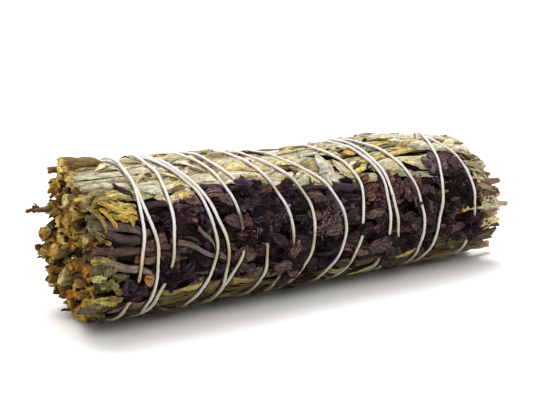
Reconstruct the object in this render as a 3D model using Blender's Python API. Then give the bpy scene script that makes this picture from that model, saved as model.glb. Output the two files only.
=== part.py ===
"""A hand-tied smudge stick lying on its side.

Bare stems make the core. Leafy sage stems lie round it, sprays of dark dried flowers cover
the front, and one length of cotton string is wound along the stick and back.

The stick lies along X with its cut ends at -X. A place in it is given by x along the stick,
the angle round it (0 faces -Y, 90 is up) and the radius from its axis. Sizes are in
millimetres and angles in degrees; cartesian() and new_mesh() turn them into metres.
"""

import math
import random

import bmesh
import bpy
import numpy as np
from mathutils import Matrix

MM = 0.001

# The bundle: its outer radius at places along the stick, and where its box has its middle
RADIUS_AT = ((-57, 16.4), (-29, 16.3), (-5, 15.4), (20, 15.9), (38, 15.2), (46, 13.9), (54, 12.6))
MIDDLE_X = -4.05
MIDDLE_Y = 0.1

# The string, and where each turn crosses the top, the upper front, the front and the lower front
STRING_DIAMETER = 1.0
STRING_SINK = 0.5
STRING_SIDES = 5
STRING_STEP = 22.5
CHORD_RISE = 0.15
PASS_ANGLES = (80, 40, 0, -50)
OUTWARD_TURNS = (
    (-47.0, -47.0, -45.6, -45.5),
    (-38.9, -34.3, -31.9, -34.5),
    (-30.5, -27.0, -25.5, -28.8),
    (-19.5, -15.4, -12.5, -13.5),
    (-10.5, -2.0, 1.5, -0.8),
    (10.0, 13.0, 13.7, 14.5),
    (14.5, 20.5, 23.5, 25.3),
    (35.5, 39.2, 40.2, 41.5),
)
RETURN_TURNS = (
    (34.5, 31.5, 29.0, 29.0),
    (11.5, 13.9, 15.8, 18.0),
    (3.0, 7.0, 6.0, 5.0),
    (-16.0, -9.0, -6.8, -9.3),
    (-28.0, -23.0, -19.8, -19.0),
    (-38.2, -33.6, -29.5, -29.0),
    (-41.0, -41.0, -42.0, -45.0),
    (-47.0, -47.8, -49.0, -50.5),
)
BACK_ANGLE = -165
KNOT_X = -47.5
FAR_OFF = 1e5
KNOT_RADIUS = 1.2
TAIL_LENGTH = 7.0
LAP_RISE = 0.56
STRING_FLOOR = 0.15

# Room between pieces
CLEAR = 0.38
SEAM = 0.2
SEAM_DRIFT = 1.2
LEAF_FLOOR = 0.3

# The rings of stems, as shares of the bundle's radius
CORE_RINGS = (
    ("core_stem_center", 1, 0.01, 0.03),
    ("core_stem_inner", 5, 0.19, 0.42),
    ("core_stem_middle", 10, 0.47, 0.68),
)
OUTER_RING = (0.72, 1.0)
SLANT = 34
FLOWER_HALF_WIDTH = 41
FLOWER_MIDDLE_AT = ((-54, -1), (-25, 3), (0, -6), (35, 14), (54, 15))
SAGE_STEMS = 15
FLOWER_SPRAYS = 5

# Where the stems are cut off, and how far single ones stand out
LEFT_END = -54.2
RIGHT_END = 45.5
LEFT_DOME = 1.6
STRAY_TIPS = {
    "flower_spray_3": 5.5,
    "flower_spray_4": 4.5,
    "sage_stem_15": 5.2,
    "core_stem_middle_1": 3.0,
}

# Stems, leaves and flowers
STEM_SIDES = 5
SAGE_STEM_RADIUS_AT = ((-54, 1.3), (46, 1.15))
SAGE_STEM_SHARE = 0.78
CORE_STEM_RADIUS_AT = ((-56, 1.57), (46, 1.28))
FLOWER_STEM_RADIUS_AT = ((-36, 1.05), (-30, 1.3), (42, 1.3), (48, 0.9))
FLOWER_STEM_SHARE = 0.8
LEAF_THICKNESS = 0.8
ROOT_DEPTH = 2.5
UNDER_STRING = 1.35
LEAF_TIP_REACH = 0.62
TUFT_LENGTH = 10.0
SHORT_GAP = 3.6
FLOWERS_FROM = -33.0
BRACT_SPACING = 5.6

# The twig that stands out of the cut end at the back
TWIG_STEM = "sage_stem_8"
TWIG_REACH = 4.9
TWIG_RADIUS = 0.62
TWIG_SHARE = 0.81
TWIG_RINGS = ((-1.7, 1.1, 0.1), (0.2, 1.15, 0.2), (0.55, 1.0, 0.5), (1.0, 0.85, 0.1))
BUD_SIZES = (0.8, 0.45, 2.6)
BUD_OFFSET = (-0.2, 0.2, 1.0)

# Folded leaves underneath that carry the stick: the stem, the place along it, and from where to
# where across its cell they reach
FEET = (
    ("sage_stem_12", -39.3, 0.06, 0.6),
    ("sage_stem_13", -39.7, 0.4, 0.94),
    ("sage_stem_11", 34.0, 0.06, 0.5),
    ("sage_stem_12", 34.2, 0.5, 0.94),
)
FOOT_LENGTH = 4.8
FOOT_SPREAD = 2.7
FOOT_HEIGHT = 3.2


def clear_scene():
    for item in list(bpy.data.objects):
        bpy.data.objects.remove(item, do_unlink=True)


def along(table, x):
    """The value at x in a table of places along the stick."""
    places, values = zip(*table)
    return np.interp(x, places, values)


def bundle_radius(x):
    return along(RADIUS_AT, x)


def cartesian(x, angle, radius):
    """Points in metres from places in the bundle, whose lowest line lies on the ground."""
    turn = np.radians(angle)
    y = -radius * np.cos(turn)
    z = bundle_radius(x) + radius * np.sin(turn)
    return np.stack([x - MIDDLE_X, y - MIDDLE_Y, z], axis=-1) * MM


def new_mesh(name, points, faces):
    mesh = bpy.data.meshes.new(name)
    mesh.from_pydata([tuple(p) for p in points], [], faces)
    mesh.validate()
    item = bpy.data.objects.new(name, mesh)
    bpy.context.scene.collection.objects.link(item)
    return item


def smooth_table(angles, places, step=3.0):
    """Places read every few degrees from a smooth curve through the given ones."""
    order = np.argsort(angles)
    angles, places = np.array(angles, float)[order], np.array(places, float)[order]
    slopes = np.gradient(places, angles)
    dense = np.arange(angles[0], angles[-1] + step / 2, step)
    piece = np.clip(np.searchsorted(angles, dense, side="right") - 1, 0, len(angles) - 2)
    width = angles[piece + 1] - angles[piece]
    u = (dense - angles[piece]) / width
    value = (
        (2 * u**3 - 3 * u**2 + 1) * places[piece]
        + (u**3 - 2 * u**2 + u) * width * slopes[piece]
        + (3 * u**2 - 2 * u**3) * places[piece + 1]
        + (u**3 - u**2) * width * slopes[piece + 1]
    )
    return dense, value


def strand(turns, first, last):
    """One way of the winding: x against an angle that falls by 360 with each turn."""
    angles, places = [first[0]], [first[1]]
    for count, turn in enumerate(turns):
        angles += [angle - 360 * count for angle in PASS_ANGLES]
        places += turn
        if count + 1 < len(turns):
            angles.append(BACK_ANGLE - 360 * count)
            places.append((turn[-1] + turns[count + 1][0]) / 2)
    angles.append(last[0])
    places.append(last[1])
    return smooth_table(angles, places)


LAST_TURN = -360 * (len(OUTWARD_TURNS) - 1)
FAR_BACK = (OUTWARD_TURNS[-1][-1] + RETURN_TURNS[0][0]) / 2
OUTWARD = strand(OUTWARD_TURNS, (BACK_ANGLE + 360, KNOT_X), (BACK_ANGLE + LAST_TURN, FAR_BACK))
RETURN = strand(RETURN_TURNS, (BACK_ANGLE + 360, FAR_BACK), (BACK_ANGLE + LAST_TURN, KNOT_X))


def crossings(way, angle):
    """For each angle, every place where that way of the winding crosses it, and its slope there."""
    angles, places = way
    slope = np.gradient(places, angles)
    found = []
    for count in range(-1, len(OUTWARD_TURNS) + 1):
        at = (np.asarray(angle) + 180) % 360 - 180 - 360 * count
        inside = (at >= angles[0]) & (at <= angles[-1])
        place = np.where(inside, np.interp(at, angles, places), 1e6)
        found.append((place, np.interp(at, angles, slope)))
    return found


def distance_to(way, x, angle, radius):
    """The distance on the bundle's surface to the nearest turn of that way."""
    nearest = np.full(np.shape(x), 1e6)
    for place, slope in crossings(way, angle):
        steep = np.degrees(slope) / radius
        nearest = np.minimum(nearest, np.abs(x - place) / np.sqrt(1 + steep**2))
    return nearest


def below_floor(x, angle, gap):
    """The largest radius that stays the gap above the ground."""
    down = np.maximum(-np.sin(np.radians(angle)), 1e-3)
    return (bundle_radius(x) - gap) / down


def string_radius(x, angle):
    """The radius of the string's middle where it lies on the herbs."""
    lying = bundle_radius(x) - STRING_SINK
    return np.minimum(lying, below_floor(x, angle, STRING_FLOOR + STRING_DIAMETER / 2))


def ceiling(x, angle):
    """The largest radius for a herb, which bulges between the turns and dips under them."""
    open_surface = np.minimum(bundle_radius(x) - 0.05, below_floor(x, angle, LEAF_FLOOR))
    reach = STRING_DIAMETER / 2 + CLEAR
    middle = string_radius(x, angle)
    near = np.minimum(distance_to(OUTWARD, x, angle, middle), distance_to(RETURN, x, angle, middle))
    under = middle - np.sqrt(np.maximum(reach**2 - near**2, 0))
    return np.where(near < reach, np.minimum(open_surface, under), open_surface)


def flower_middle(x):
    return along(FLOWER_MIDDLE_AT, x)


def wander(name, x):
    """A slow drift of a seam between neighbours, in degrees."""
    rng = random.Random(name)
    phase, waves = rng.uniform(0, 6.28), rng.uniform(0.035, 0.06)
    return SEAM_DRIFT * np.sin(phase + waves * x)


def flower_seam(count, x):
    share = count / FLOWER_SPRAYS
    drift = wander(f"flower seam {count}", x) if 0 < count < FLOWER_SPRAYS else 0
    return flower_middle(x) + FLOWER_HALF_WIDTH * (2 * share - 1) + drift


def sage_seam(count, x):
    share = count / SAGE_STEMS
    drift = wander(f"sage seam {count}", x) if 0 < count < SAGE_STEMS else 0
    return flower_middle(x) + FLOWER_HALF_WIDTH + (360 - 2 * FLOWER_HALF_WIDTH) * share + drift


class Cell:
    """The room of one stem: a sector of a ring, with sides that lean so that neighbours overlap."""

    def __init__(self, low_seam, high_seam, band):
        self.low_seam, self.high_seam, self.band = low_seam, high_seam, band

    def angle(self, x, across, share):
        lean = SLANT * (share - sum(self.band) / 2)
        margin = np.degrees(SEAM / (share * bundle_radius(x)))
        low = self.low_seam(x) + lean + margin
        high = self.high_seam(x) + lean - margin
        return low + (high - low) * across

    def place(self, x, across, radius):
        """Angle and radius of a place given by its share of the way across the cell."""
        share = radius / bundle_radius(x)
        return self.angle(x, np.clip(across, 0, 1), share)


def outer_cell(kind, count):
    seam = flower_seam if kind == "flower" else sage_seam
    return Cell(lambda x: seam(count, x), lambda x: seam(count + 1, x), OUTER_RING)


def core_cell(name, count, total, low, high):
    width = 360 / total
    return Cell(
        lambda x: flower_middle(x) + width * count + wander(f"{name} {count}", x),
        lambda x: flower_middle(x) + width * (count + 1) + wander(f"{name} {(count + 1) % total}", x),
        (low, high),
    )


TRIANGLE_SAMPLES = [(a / 5, b / 5, (5 - a - b) / 5) for a in range(6) for b in range(6 - a)]


def press_under_string(cell, x, across, radius, triangles, room, low_limit):
    """Lowers a surface wherever one of its triangles would reach into the string or the ground."""
    radius = np.array(radius, float)
    corners = np.array(triangles)
    weights = np.array(TRIANGLE_SAMPLES)
    for _ in range(5):
        angle = cell.place(x, across, radius)
        sx, sa, sr = (weights @ value[corners].T for value in (x, angle, radius))
        excess = np.max(sr - (ceiling(sx, sa) - room), axis=0)
        for corner in range(3):
            drop = np.zeros(len(radius))
            np.maximum.at(drop, corners[:, corner], np.maximum(excess, 0))
            radius = radius - drop
    return np.maximum(radius, low_limit(x))


def blade(name, cell, rows, thickness=LEAF_THICKNESS):
    """A closed leaf from rows of (x, across, radius) over its width, split alike on both faces."""
    points = [point for row in rows for point in row]
    x, across, radius = (np.array(value, float) for value in zip(*points))
    starts = np.cumsum([0] + [len(row) for row in rows])
    triangles = []
    for row, (a, b) in enumerate(zip(rows, rows[1:])):
        first, second = starts[row], starts[row + 1]
        if len(a) == 1:
            triangles += [(first, second + i, second + i + 1) for i in range(len(b) - 1)]
        elif len(b) == 1:
            triangles += [(first + i + 1, first + i, second) for i in range(len(a) - 1)]
        else:
            for i in range(len(a) - 1):
                triangles.append((first + i + 1, first + i, second + i))
                triangles.append((first + i + 1, second + i, second + i + 1))
    half = thickness / 2
    floor = lambda place: cell.band[0] * bundle_radius(place) + half + 0.1
    radius = press_under_string(cell, x, across, radius, triangles, half, floor)
    over = cartesian(x, cell.place(x, across, radius), radius + half)
    under = cartesian(x, cell.place(x, across, radius), radius - half)
    near_side = list(starts[:-1])
    far_side = [start - 1 for start in starts[:0:-1]]
    last_row = list(range(starts[-2] + 1, starts[-1] - 1))
    first_row = list(range(starts[1] - 2, starts[0], -1))
    rim = near_side + last_row + far_side + first_row
    rim = [point for order, point in enumerate(rim) if point != rim[order - 1]]
    count = len(points)
    faces = [tuple(face) for face in triangles]
    faces += [tuple(p + count for p in reversed(face)) for face in triangles]
    for a, b in zip(rim, rim[1:] + rim[:1]):
        faces += [(a, b, b + count), (a, b + count, a + count)]
    return facing_out(new_mesh(name, np.concatenate([over, under]), faces))


def facing_out(item):
    shape = bmesh.new()
    shape.from_mesh(item.data)
    bmesh.ops.recalc_face_normals(shape, faces=shape.faces)
    shape.to_mesh(item.data)
    shape.free()
    return item


def tube(name, rings, sides):
    """A closed tube through rings of points in metres."""
    points = np.concatenate(rings)
    faces = []
    for ring in range(len(rings) - 1):
        for side in range(sides):
            a, b = ring * sides + side, ring * sides + (side + 1) % sides
            faces.append((a, b, b + sides, a + sides))
    faces.append(tuple(reversed(range(sides))))
    last = (len(rings) - 1) * sides
    faces.append(tuple(range(last, last + sides)))
    return facing_out(new_mesh(name, points, faces))


def stem(name, cell, ends, thickness, share, rng, sections=5):
    """A slightly crooked stem inside its cell, cut off a little aslant at both ends.

    The thickness is a table of the stem's radius at places along the stick.
    """
    rings = []
    slants = rng.uniform(-0.35, 0.35), rng.uniform(-0.35, 0.35)
    start = rng.uniform(0, 6.28)
    for section in range(sections):
        u = section / (sections - 1)
        x = ends[0] + (ends[1] - ends[0]) * u
        shift = 0.5 + rng.uniform(-0.06, 0.06)
        middle_radius = share * bundle_radius(x)
        angle = cell.place(x, shift, middle_radius)
        middle = cartesian(x, angle, middle_radius)
        girth = along(thickness, x) * rng.uniform(0.93, 1.05)
        slant = slants[0] if section == 0 else slants[1] if section == sections - 1 else 0
        turns = start + np.arange(STEM_SIDES) * 2 * math.pi / STEM_SIDES
        offset = np.stack([slant * np.sin(turns), np.cos(turns), np.sin(turns)], axis=-1)
        rings.append(middle + offset * girth * MM)
    return tube(name, rings, STEM_SIDES)


def turns_over(cell):
    """The turns of string over a cell from left to right, with those that nearly touch taken together."""
    middle = cell.place(0.0, 0.5, bundle_radius(0.0))
    found = []
    for way in (OUTWARD, RETURN):
        found += [(float(place), way) for place, slope in crossings(way, middle) if place < FAR_OFF]
    found.sort(key=lambda turn: turn[0])
    groups = [[found[0]]]
    for turn in found[1:]:
        if turn[0] - groups[-1][-1][0] < SHORT_GAP:
            groups[-1].append(turn)
        else:
            groups.append([turn])
    return groups


def over_place(group, cell, across):
    """Where the middle of a group of turns crosses a line along a cell."""
    places = [turn[0] for turn in group]
    for _ in range(3):
        for order, (_, way) in enumerate(group):
            angle = cell.place(places[order], across, bundle_radius(places[order]))
            found = [float(place) for place, slope in crossings(way, angle)]
            places[order] = min(found, key=lambda place: abs(place - places[order]))
    return sum(places) / len(places)


def tuft(name, cell, root, length, middle, width, depth, rng):
    """A crumpled leaf beside a bare stem: a root, two rows of edge, rib and edge, and a point."""
    fold = rng.choice((-0.5, 0.5))
    rows = [[(root, middle, bundle_radius(root) - depth)]]
    for u, share in ((0.3, 0.95), (0.7, 0.9)):
        x = root + length * u
        half = width / 2 * share
        level = bundle_radius(x) - depth + rng.uniform(-0.3, 0.3)
        edge = level - fold
        rows.append([(x, middle - half, edge), (x, middle, level), (x, middle + half, edge)])
    rows.append([(root + length, middle, bundle_radius(root) - depth)])
    return blade(name, cell, rows)


def leaf(name, cell, marks, middle, width, rng):
    """A leaf held down by the string: rooted under one turn, tucked under the next, free at its point."""
    start, end, beyond = marks
    across = [middle - width / 2, middle, middle + width / 2]
    sway = rng.uniform(-0.1, 0.1)
    fold = rng.choice((-0.35, 0.3, 0.5))
    bulge = [start(a) + (end(a) - start(a)) * rng.uniform(0.4, 0.6) for a in across]
    dip = [end(a) for a in across]
    root, point = start(middle), end(middle) + (beyond(middle) - end(middle)) * LEAF_TIP_REACH
    levels = [bundle_radius(x) - LEAF_THICKNESS / 2 for x in (root, bulge[1], dip[1], point)]
    edge = rng.uniform(-0.2, 0.2)
    rows = [
        [(root, middle, levels[0] - ROOT_DEPTH)],
        [
            (bulge[0], across[0], levels[1] - fold + edge),
            (bulge[1], across[1], levels[1] - 0.1),
            (bulge[2], across[2], levels[1] - fold - edge),
        ],
        [
            (dip[0], across[0] + sway * 0.5, levels[2] - UNDER_STRING),
            (dip[1], across[1] + sway * 0.5, levels[2] - UNDER_STRING + 0.05),
            (dip[2], across[2] + sway * 0.5, levels[2] - UNDER_STRING),
        ],
        [(point, middle + sway, levels[3] - 0.35)],
    ]
    return blade(name, cell, rows)


def bract(name, cell, root, tip, middle, width, lift, rng):
    """A cupped bract of a dried flower, narrow at its root and three-lobed at its rim."""
    rows = [[(root, middle, bundle_radius(root) - ROOT_DEPTH)]]
    side = rng.uniform(-0.06, 0.06)
    for u, share, level in ((0.45, 0.85, 0.9), (1.0, 1.0, lift)):
        x = root + (tip - root) * u
        half = width / 2 * share
        radius = bundle_radius(x) - level
        cup = 0.45 * u
        rows.append(
            [
                (x - 0.8 * u, middle + side - half, radius - cup),
                (x + 0.3 * u, middle + side, radius),
                (x - 0.8 * u, middle + side + half, radius - cup),
            ]
        )
    return blade(name, cell, rows)


def main_body(mesh):
    """Fills a hollow that the joining sealed, and drops a scrap that it left loose."""
    shape = bmesh.new()
    shape.from_mesh(mesh)
    left, bodies = set(shape.verts), []
    while left:
        body, edge = set(), [left.pop()]
        while edge:
            vertex = edge.pop()
            body.add(vertex)
            near = {link.other_vert(vertex) for link in vertex.link_edges} & left
            left -= near
            edge.extend(near)
        bodies.append(body)
    largest = max(bodies, key=lambda body: spread(body))
    for body in bodies:
        if body is not largest:
            bmesh.ops.delete(shape, geom=list(body), context="VERTS")
    shape.to_mesh(mesh)
    shape.free()


def spread(body):
    places = [vertex.co.x for vertex in body]
    return max(places) - min(places)


def join(name, base, pieces, material):
    """One body from a stem and all that grows on it."""
    if pieces:
        fuse(base, pieces)
    base.name = base.data.name = name
    base.data.materials.clear()
    base.data.materials.append(material)
    base.data.shade_flat()
    return base


def fuse(base, pieces):
    group = bpy.data.collections.new("pieces")
    bpy.context.scene.collection.children.link(group)
    for piece in pieces:
        bpy.context.scene.collection.objects.unlink(piece)
        group.objects.link(piece)
    union = base.modifiers.new("join", "BOOLEAN")
    union.operation = "UNION"
    union.solver = "MANIFOLD"
    union.operand_type = "COLLECTION"
    union.collection = group
    bpy.context.view_layer.update()
    joined = bpy.data.meshes.new_from_object(base.evaluated_get(bpy.context.evaluated_depsgraph_get()))
    base.modifiers.clear()
    main_body(joined)
    base.data = joined
    for piece in pieces:
        bpy.data.objects.remove(piece, do_unlink=True)
    bpy.data.collections.remove(group)


def plain_material(name, color, roughness):
    material = bpy.data.materials.new(name)
    material.use_nodes = True
    shader = material.node_tree.nodes["Principled BSDF"]
    shader.inputs["Base Color"].default_value = (*color, 1)
    shader.inputs["Roughness"].default_value = roughness
    shader.inputs["Metallic"].default_value = 0
    return material


def sage_material():
    return plain_material("dried sage", (0.40, 0.40, 0.24), 0.85)


def stem_material():
    return plain_material("sage stem", (0.42, 0.31, 0.13), 0.8)


def flower_material():
    return plain_material("dried flower", (0.05, 0.025, 0.04), 0.85)


def cotton_material():
    return plain_material("cotton string", (0.85, 0.84, 0.80), 0.9)


def end_places(name, rng, share):
    """Where a stem is cut off at the left and the right, the middle of the left end standing out most."""
    dome = LEFT_DOME * (1 - share**2)
    left = LEFT_END - dome + rng.uniform(-1.3, 1.3)
    right = RIGHT_END + rng.uniform(-2.0, 1.5) + STRAY_TIPS.get(name, 0)
    return left, right


def marks_along(cell, ends):
    """What holds the leaves down from left to right: the cut end, each group of turns, the other end."""
    marks = [lambda across: ends[0] + 1.0]
    for group in turns_over(cell):
        marks.append(lambda across, group=group: over_place(group, cell, across))
    last = min(ends[1], RIGHT_END + 1)
    return marks + [lambda across: last - 0.5, lambda across: last + 4.0]


def cross_ring(middle, radius, sides):
    """A ring of points round a middle, square to the stick."""
    turns = np.arange(sides) * 2 * math.pi / sides
    offset = np.stack([0 * turns, np.cos(turns), np.sin(turns)], axis=-1)
    return middle + offset * radius * MM


def twig(cell, left):
    """A thin twig that stands out past the cut ends, with a bud on its side."""
    rings = []
    for reach, thickness, shift in TWIG_RINGS:
        x = left - TWIG_REACH * reach
        radius = TWIG_SHARE * bundle_radius(x)
        middle = cartesian(x, cell.place(x, 0.5, radius) + shift, radius + shift)
        rings.append(cross_ring(middle, TWIG_RADIUS * thickness, STEM_SIDES))
    x = left - TWIG_REACH * 0.5
    radius = TWIG_SHARE * bundle_radius(x) + 0.4
    foot_of_bud = cartesian(x, cell.place(x, 0.5, radius), radius) + np.array(BUD_OFFSET) * MM
    shape = bmesh.new()
    wide, narrow, height = (size * MM for size in BUD_SIZES)
    bmesh.ops.create_cone(
        shape, cap_ends=True, segments=STEM_SIDES, radius1=wide, radius2=narrow, depth=height
    )
    return [tube("twig", rings, STEM_SIDES), placed("bud", shape, foot_of_bud)]


def placed(name, shape, middle):
    """A shape made round the origin, moved to its place."""
    item = new_mesh(name, [], [])
    shape.to_mesh(item.data)
    shape.free()
    item.data.transform(Matrix.Translation(middle))
    return facing_out(item)


def at_height(cell, x, across, height):
    """The point of a cell underneath the stick that lies at a height over the ground."""
    angle = cell.place(x, across, bundle_radius(x) - height)
    return cartesian(x, angle, below_floor(x, angle, height))


def foot(name, cell, x, low, high):
    """A folded leaf between two turns of string underneath, flat where it meets the ground."""
    corners = []
    for spread, height in ((FOOT_SPREAD, FOOT_HEIGHT), (0.0, 0.0)):
        for end in (-1, 1):
            for across in (low, high):
                corners.append(at_height(cell, x + end * (FOOT_LENGTH / 2 + spread), across, height))
    faces = [(0, 1, 3, 2), (4, 6, 7, 5), (0, 4, 5, 1), (2, 3, 7, 6), (0, 2, 6, 4), (1, 5, 7, 3)]
    return facing_out(new_mesh(name, corners, faces))


def sage_stem(count, material):
    """A leafy sage stem of the outer ring, its leaves lying along the stick."""
    name = f"sage_stem_{count + 1}"
    rng = random.Random(name)
    cell = outer_cell("sage", count)
    ends = end_places(name, rng, 0.86)
    base = stem(name, cell, ends, SAGE_STEM_RADIUS_AT, SAGE_STEM_SHARE, rng)
    pieces = []
    marks = marks_along(cell, ends)
    for start in range(count % 2, len(marks) - 2, 2):
        middle = rng.choice((0.46, 0.5, 0.54))
        pieces.append(leaf("leaf", cell, marks[start : start + 3], middle, rng.uniform(0.8, 0.94), rng))
    if name == TWIG_STEM:
        pieces += twig(cell, ends[0])
    for carrier, place, low, high in FEET:
        if carrier == name:
            pieces.append(foot("foot", cell, place, low, high))
    return join(name, base, pieces, material)


def flower_spray(count, material):
    """A thin flower stem, bare at its left and crowded with dark bracts to its right end."""
    name = f"flower_spray_{count + 1}"
    rng = random.Random(name)
    cell = outer_cell("flower", count)
    ends = end_places(name, rng, 0.86)
    thickness, share = FLOWER_STEM_RADIUS_AT, FLOWER_STEM_SHARE
    base = stem(name, cell, (ends[0] + 3, ends[1]), thickness, share, rng, sections=8)
    pieces = []
    marks = [mark for mark in marks_along(cell, ends)[:-1] if mark(0.5) > FLOWERS_FROM]
    for start, end in zip(marks, marks[1:]):
        room = end(0.5) - start(0.5)
        bracts = max(1, round(room / BRACT_SPACING))
        for order in range(bracts):
            middle = 0.5 + rng.uniform(-0.08, 0.08)
            root = start(middle) + room * order / bracts - 0.4
            tip = start(middle) + room * (order + 1) / bracts - (0.9 if order + 1 == bracts else -0.6)
            lift = rng.uniform(0.45, 0.75)
            pieces.append(bract("bract", cell, root, tip, middle, rng.uniform(0.75, 0.95), lift, rng))
    return join(name, base, pieces, material)


def core_stem(name, cell, share, material):
    """A bare stem of the core, with a crumpled leaf beside it at each end."""
    rng = random.Random(name)
    ends = end_places(name, rng, share)
    base = stem(name, cell, ends, CORE_STEM_RADIUS_AT, share, rng, sections=4)
    pieces = []
    if share > 0.1:
        depth = (1 - share) * bundle_radius(0)
        tufts = ((ends[0] - 0.2, TUFT_LENGTH), (ends[1] - 9.0, TUFT_LENGTH))
        for root, length in tufts if share > 0.5 else tufts[:1]:
            middle = rng.choice((0.3, 0.7))
            level = depth + rng.uniform(-0.8, 0.4)
            pieces.append(tuft("tuft", cell, root, length, middle, 0.6, level, rng))
    return join(name, base, pieces, material)


def string_tube(name, way, rises):
    """A tube along one way of the winding."""
    angles, places = way
    steps = int(round((angles[-1] - angles[0]) / STRING_STEP))
    at = np.linspace(angles[0], angles[-1], steps + 1)
    x = np.interp(at, angles, places)
    rise = rises(x, at)
    route = cartesian(x, at, string_radius(x, at) + rise + CHORD_RISE)
    ahead = np.gradient(route, axis=0)
    ahead /= np.linalg.norm(ahead, axis=1)[:, None]
    turn = np.radians(at)
    outward = np.stack([0 * turn, -np.cos(turn), np.sin(turn)], axis=-1)
    beside = np.cross(ahead, outward)
    beside /= np.linalg.norm(beside, axis=1)[:, None]
    outward = np.cross(beside, ahead)
    rings = []
    for step in range(len(at)):
        around = (np.arange(STRING_SIDES) + 0.5) * 2 * math.pi / STRING_SIDES
        ring = np.outer(np.cos(around), outward[step]) + np.outer(np.sin(around), beside[step])
        rings.append(route[step] + ring * STRING_DIAMETER / 2 * MM)
    return tube(name, rings, STRING_SIDES)


def no_rise(x, angle):
    return np.zeros_like(x)


def lap_rise(x, angle):
    """The way back lies over the way out wherever they cross, except flat under the stick."""
    near = distance_to(OUTWARD, x, angle, bundle_radius(x))
    off_ground = np.clip((np.sin(np.radians(angle)) + 0.95) / 0.3, 0, 1)
    return LAP_RISE * np.exp(-((near / 1.1) ** 2)) * off_ground


def knot():
    shape = bmesh.new()
    bmesh.ops.create_icosphere(shape, subdivisions=1, radius=KNOT_RADIUS * MM)
    radius = string_radius(KNOT_X, BACK_ANGLE)
    return placed("knot", shape, cartesian(KNOT_X, BACK_ANGLE, radius))


def tail(along_stick, around_stick):
    """A loose end of the string, from the knot over the herbs."""
    rings = []
    for u in (0, 0.35, 0.7, 1):
        x = KNOT_X + 0.3 + along_stick * u
        angle = BACK_ANGLE + around_stick * u
        middle = cartesian(x, angle, string_radius(x, angle) + 0.3)
        turns = (np.arange(4) + 0.5) * math.pi / 2
        across = 0 * turns if along_stick > TAIL_LENGTH / 2 else np.cos(turns)
        aside = np.cos(turns) if along_stick > TAIL_LENGTH / 2 else np.sin(turns)
        up = np.sin(turns) if along_stick > TAIL_LENGTH / 2 else 0 * turns
        offset = np.stack([across, aside, up], axis=-1)
        rings.append(middle + offset * STRING_DIAMETER * 0.45 * MM)
    return tube("tail", rings, 4)


def string(material):
    """The cotton string: along the stick, back again, and knotted at the back."""
    base = string_tube("string", OUTWARD, no_rise)
    pieces = [string_tube("way back", RETURN, lap_rise), knot()]
    pieces += [tail(TAIL_LENGTH * 0.84, 16), tail(-TAIL_LENGTH * 0.12, -16)]
    return join("string", base, pieces, material)


def smudge_stick():
    sage, flower, cotton, wood = sage_material(), flower_material(), cotton_material(), stem_material()
    for title, total, low, high in CORE_RINGS:
        for count in range(total):
            name = title if total == 1 else f"{title}_{count + 1}"
            core_stem(name, core_cell(title, count, total, low, high), (low + high) / 2, wood)
    for count in range(SAGE_STEMS):
        sage_stem(count, sage)
    for count in range(FLOWER_SPRAYS):
        flower_spray(count, flower)
    string(cotton)


clear_scene()
smudge_stick()
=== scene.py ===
"""A hand-tied smudge stick on a pale table: leafy sage stems, dark dried flowers and cotton string."""

import math

import bpy
import numpy as np
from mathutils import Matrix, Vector


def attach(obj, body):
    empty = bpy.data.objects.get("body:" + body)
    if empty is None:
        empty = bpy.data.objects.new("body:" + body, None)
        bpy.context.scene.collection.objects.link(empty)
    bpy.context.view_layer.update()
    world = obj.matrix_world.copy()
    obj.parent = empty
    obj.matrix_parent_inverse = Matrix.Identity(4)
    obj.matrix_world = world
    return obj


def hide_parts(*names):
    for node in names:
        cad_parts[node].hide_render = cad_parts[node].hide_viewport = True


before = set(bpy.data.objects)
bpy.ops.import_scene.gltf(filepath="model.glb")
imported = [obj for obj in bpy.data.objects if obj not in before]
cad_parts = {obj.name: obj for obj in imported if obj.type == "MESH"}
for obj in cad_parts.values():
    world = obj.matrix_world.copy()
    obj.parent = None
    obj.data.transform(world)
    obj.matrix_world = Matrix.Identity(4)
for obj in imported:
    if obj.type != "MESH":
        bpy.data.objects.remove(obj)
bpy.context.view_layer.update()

# Camera
# The stick is seen from its front left and a little above, with its cut ends nearest.
camera_turn, camera_lift, camera_distance = math.radians(-35), math.radians(12), 0.2755
look_at = Vector((-0.00395, -0.0001, 0.0192))
camera_side = Vector(
    (
        math.sin(camera_turn) * math.cos(camera_lift),
        -math.cos(camera_turn) * math.cos(camera_lift),
        math.sin(camera_lift),
    )
)
camera = bpy.data.objects.new("camera", bpy.data.cameras.new("camera"))
camera.data.lens = 83.33
camera.data.sensor_width = 36
camera.data.clip_start = 0.01
camera.location = look_at + camera_side * camera_distance
camera.rotation_euler = camera_side.to_track_quat("Z", "Y").to_euler()
bpy.context.scene.collection.objects.link(camera)
bpy.context.scene.camera = camera

# Table
# A plain matt white sheet, wide enough to fill every view.
table = bpy.data.meshes.new("table")
table.from_pydata([(-3, -3, 0), (3, -3, 0), (3, 3, 0), (-3, 3, 0)], [], [(0, 1, 2, 3)])
table_top = bpy.data.objects.new("table", table)
bpy.context.scene.collection.objects.link(table_top)
table_paint = bpy.data.materials.new("white paper")
table_paint.use_nodes = True
paper = table_paint.node_tree.nodes["Principled BSDF"].inputs
paper["Base Color"].default_value = (0.9, 0.9, 0.9, 1)
paper["Roughness"].default_value = 0.9
table.materials.append(table_paint)

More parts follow.
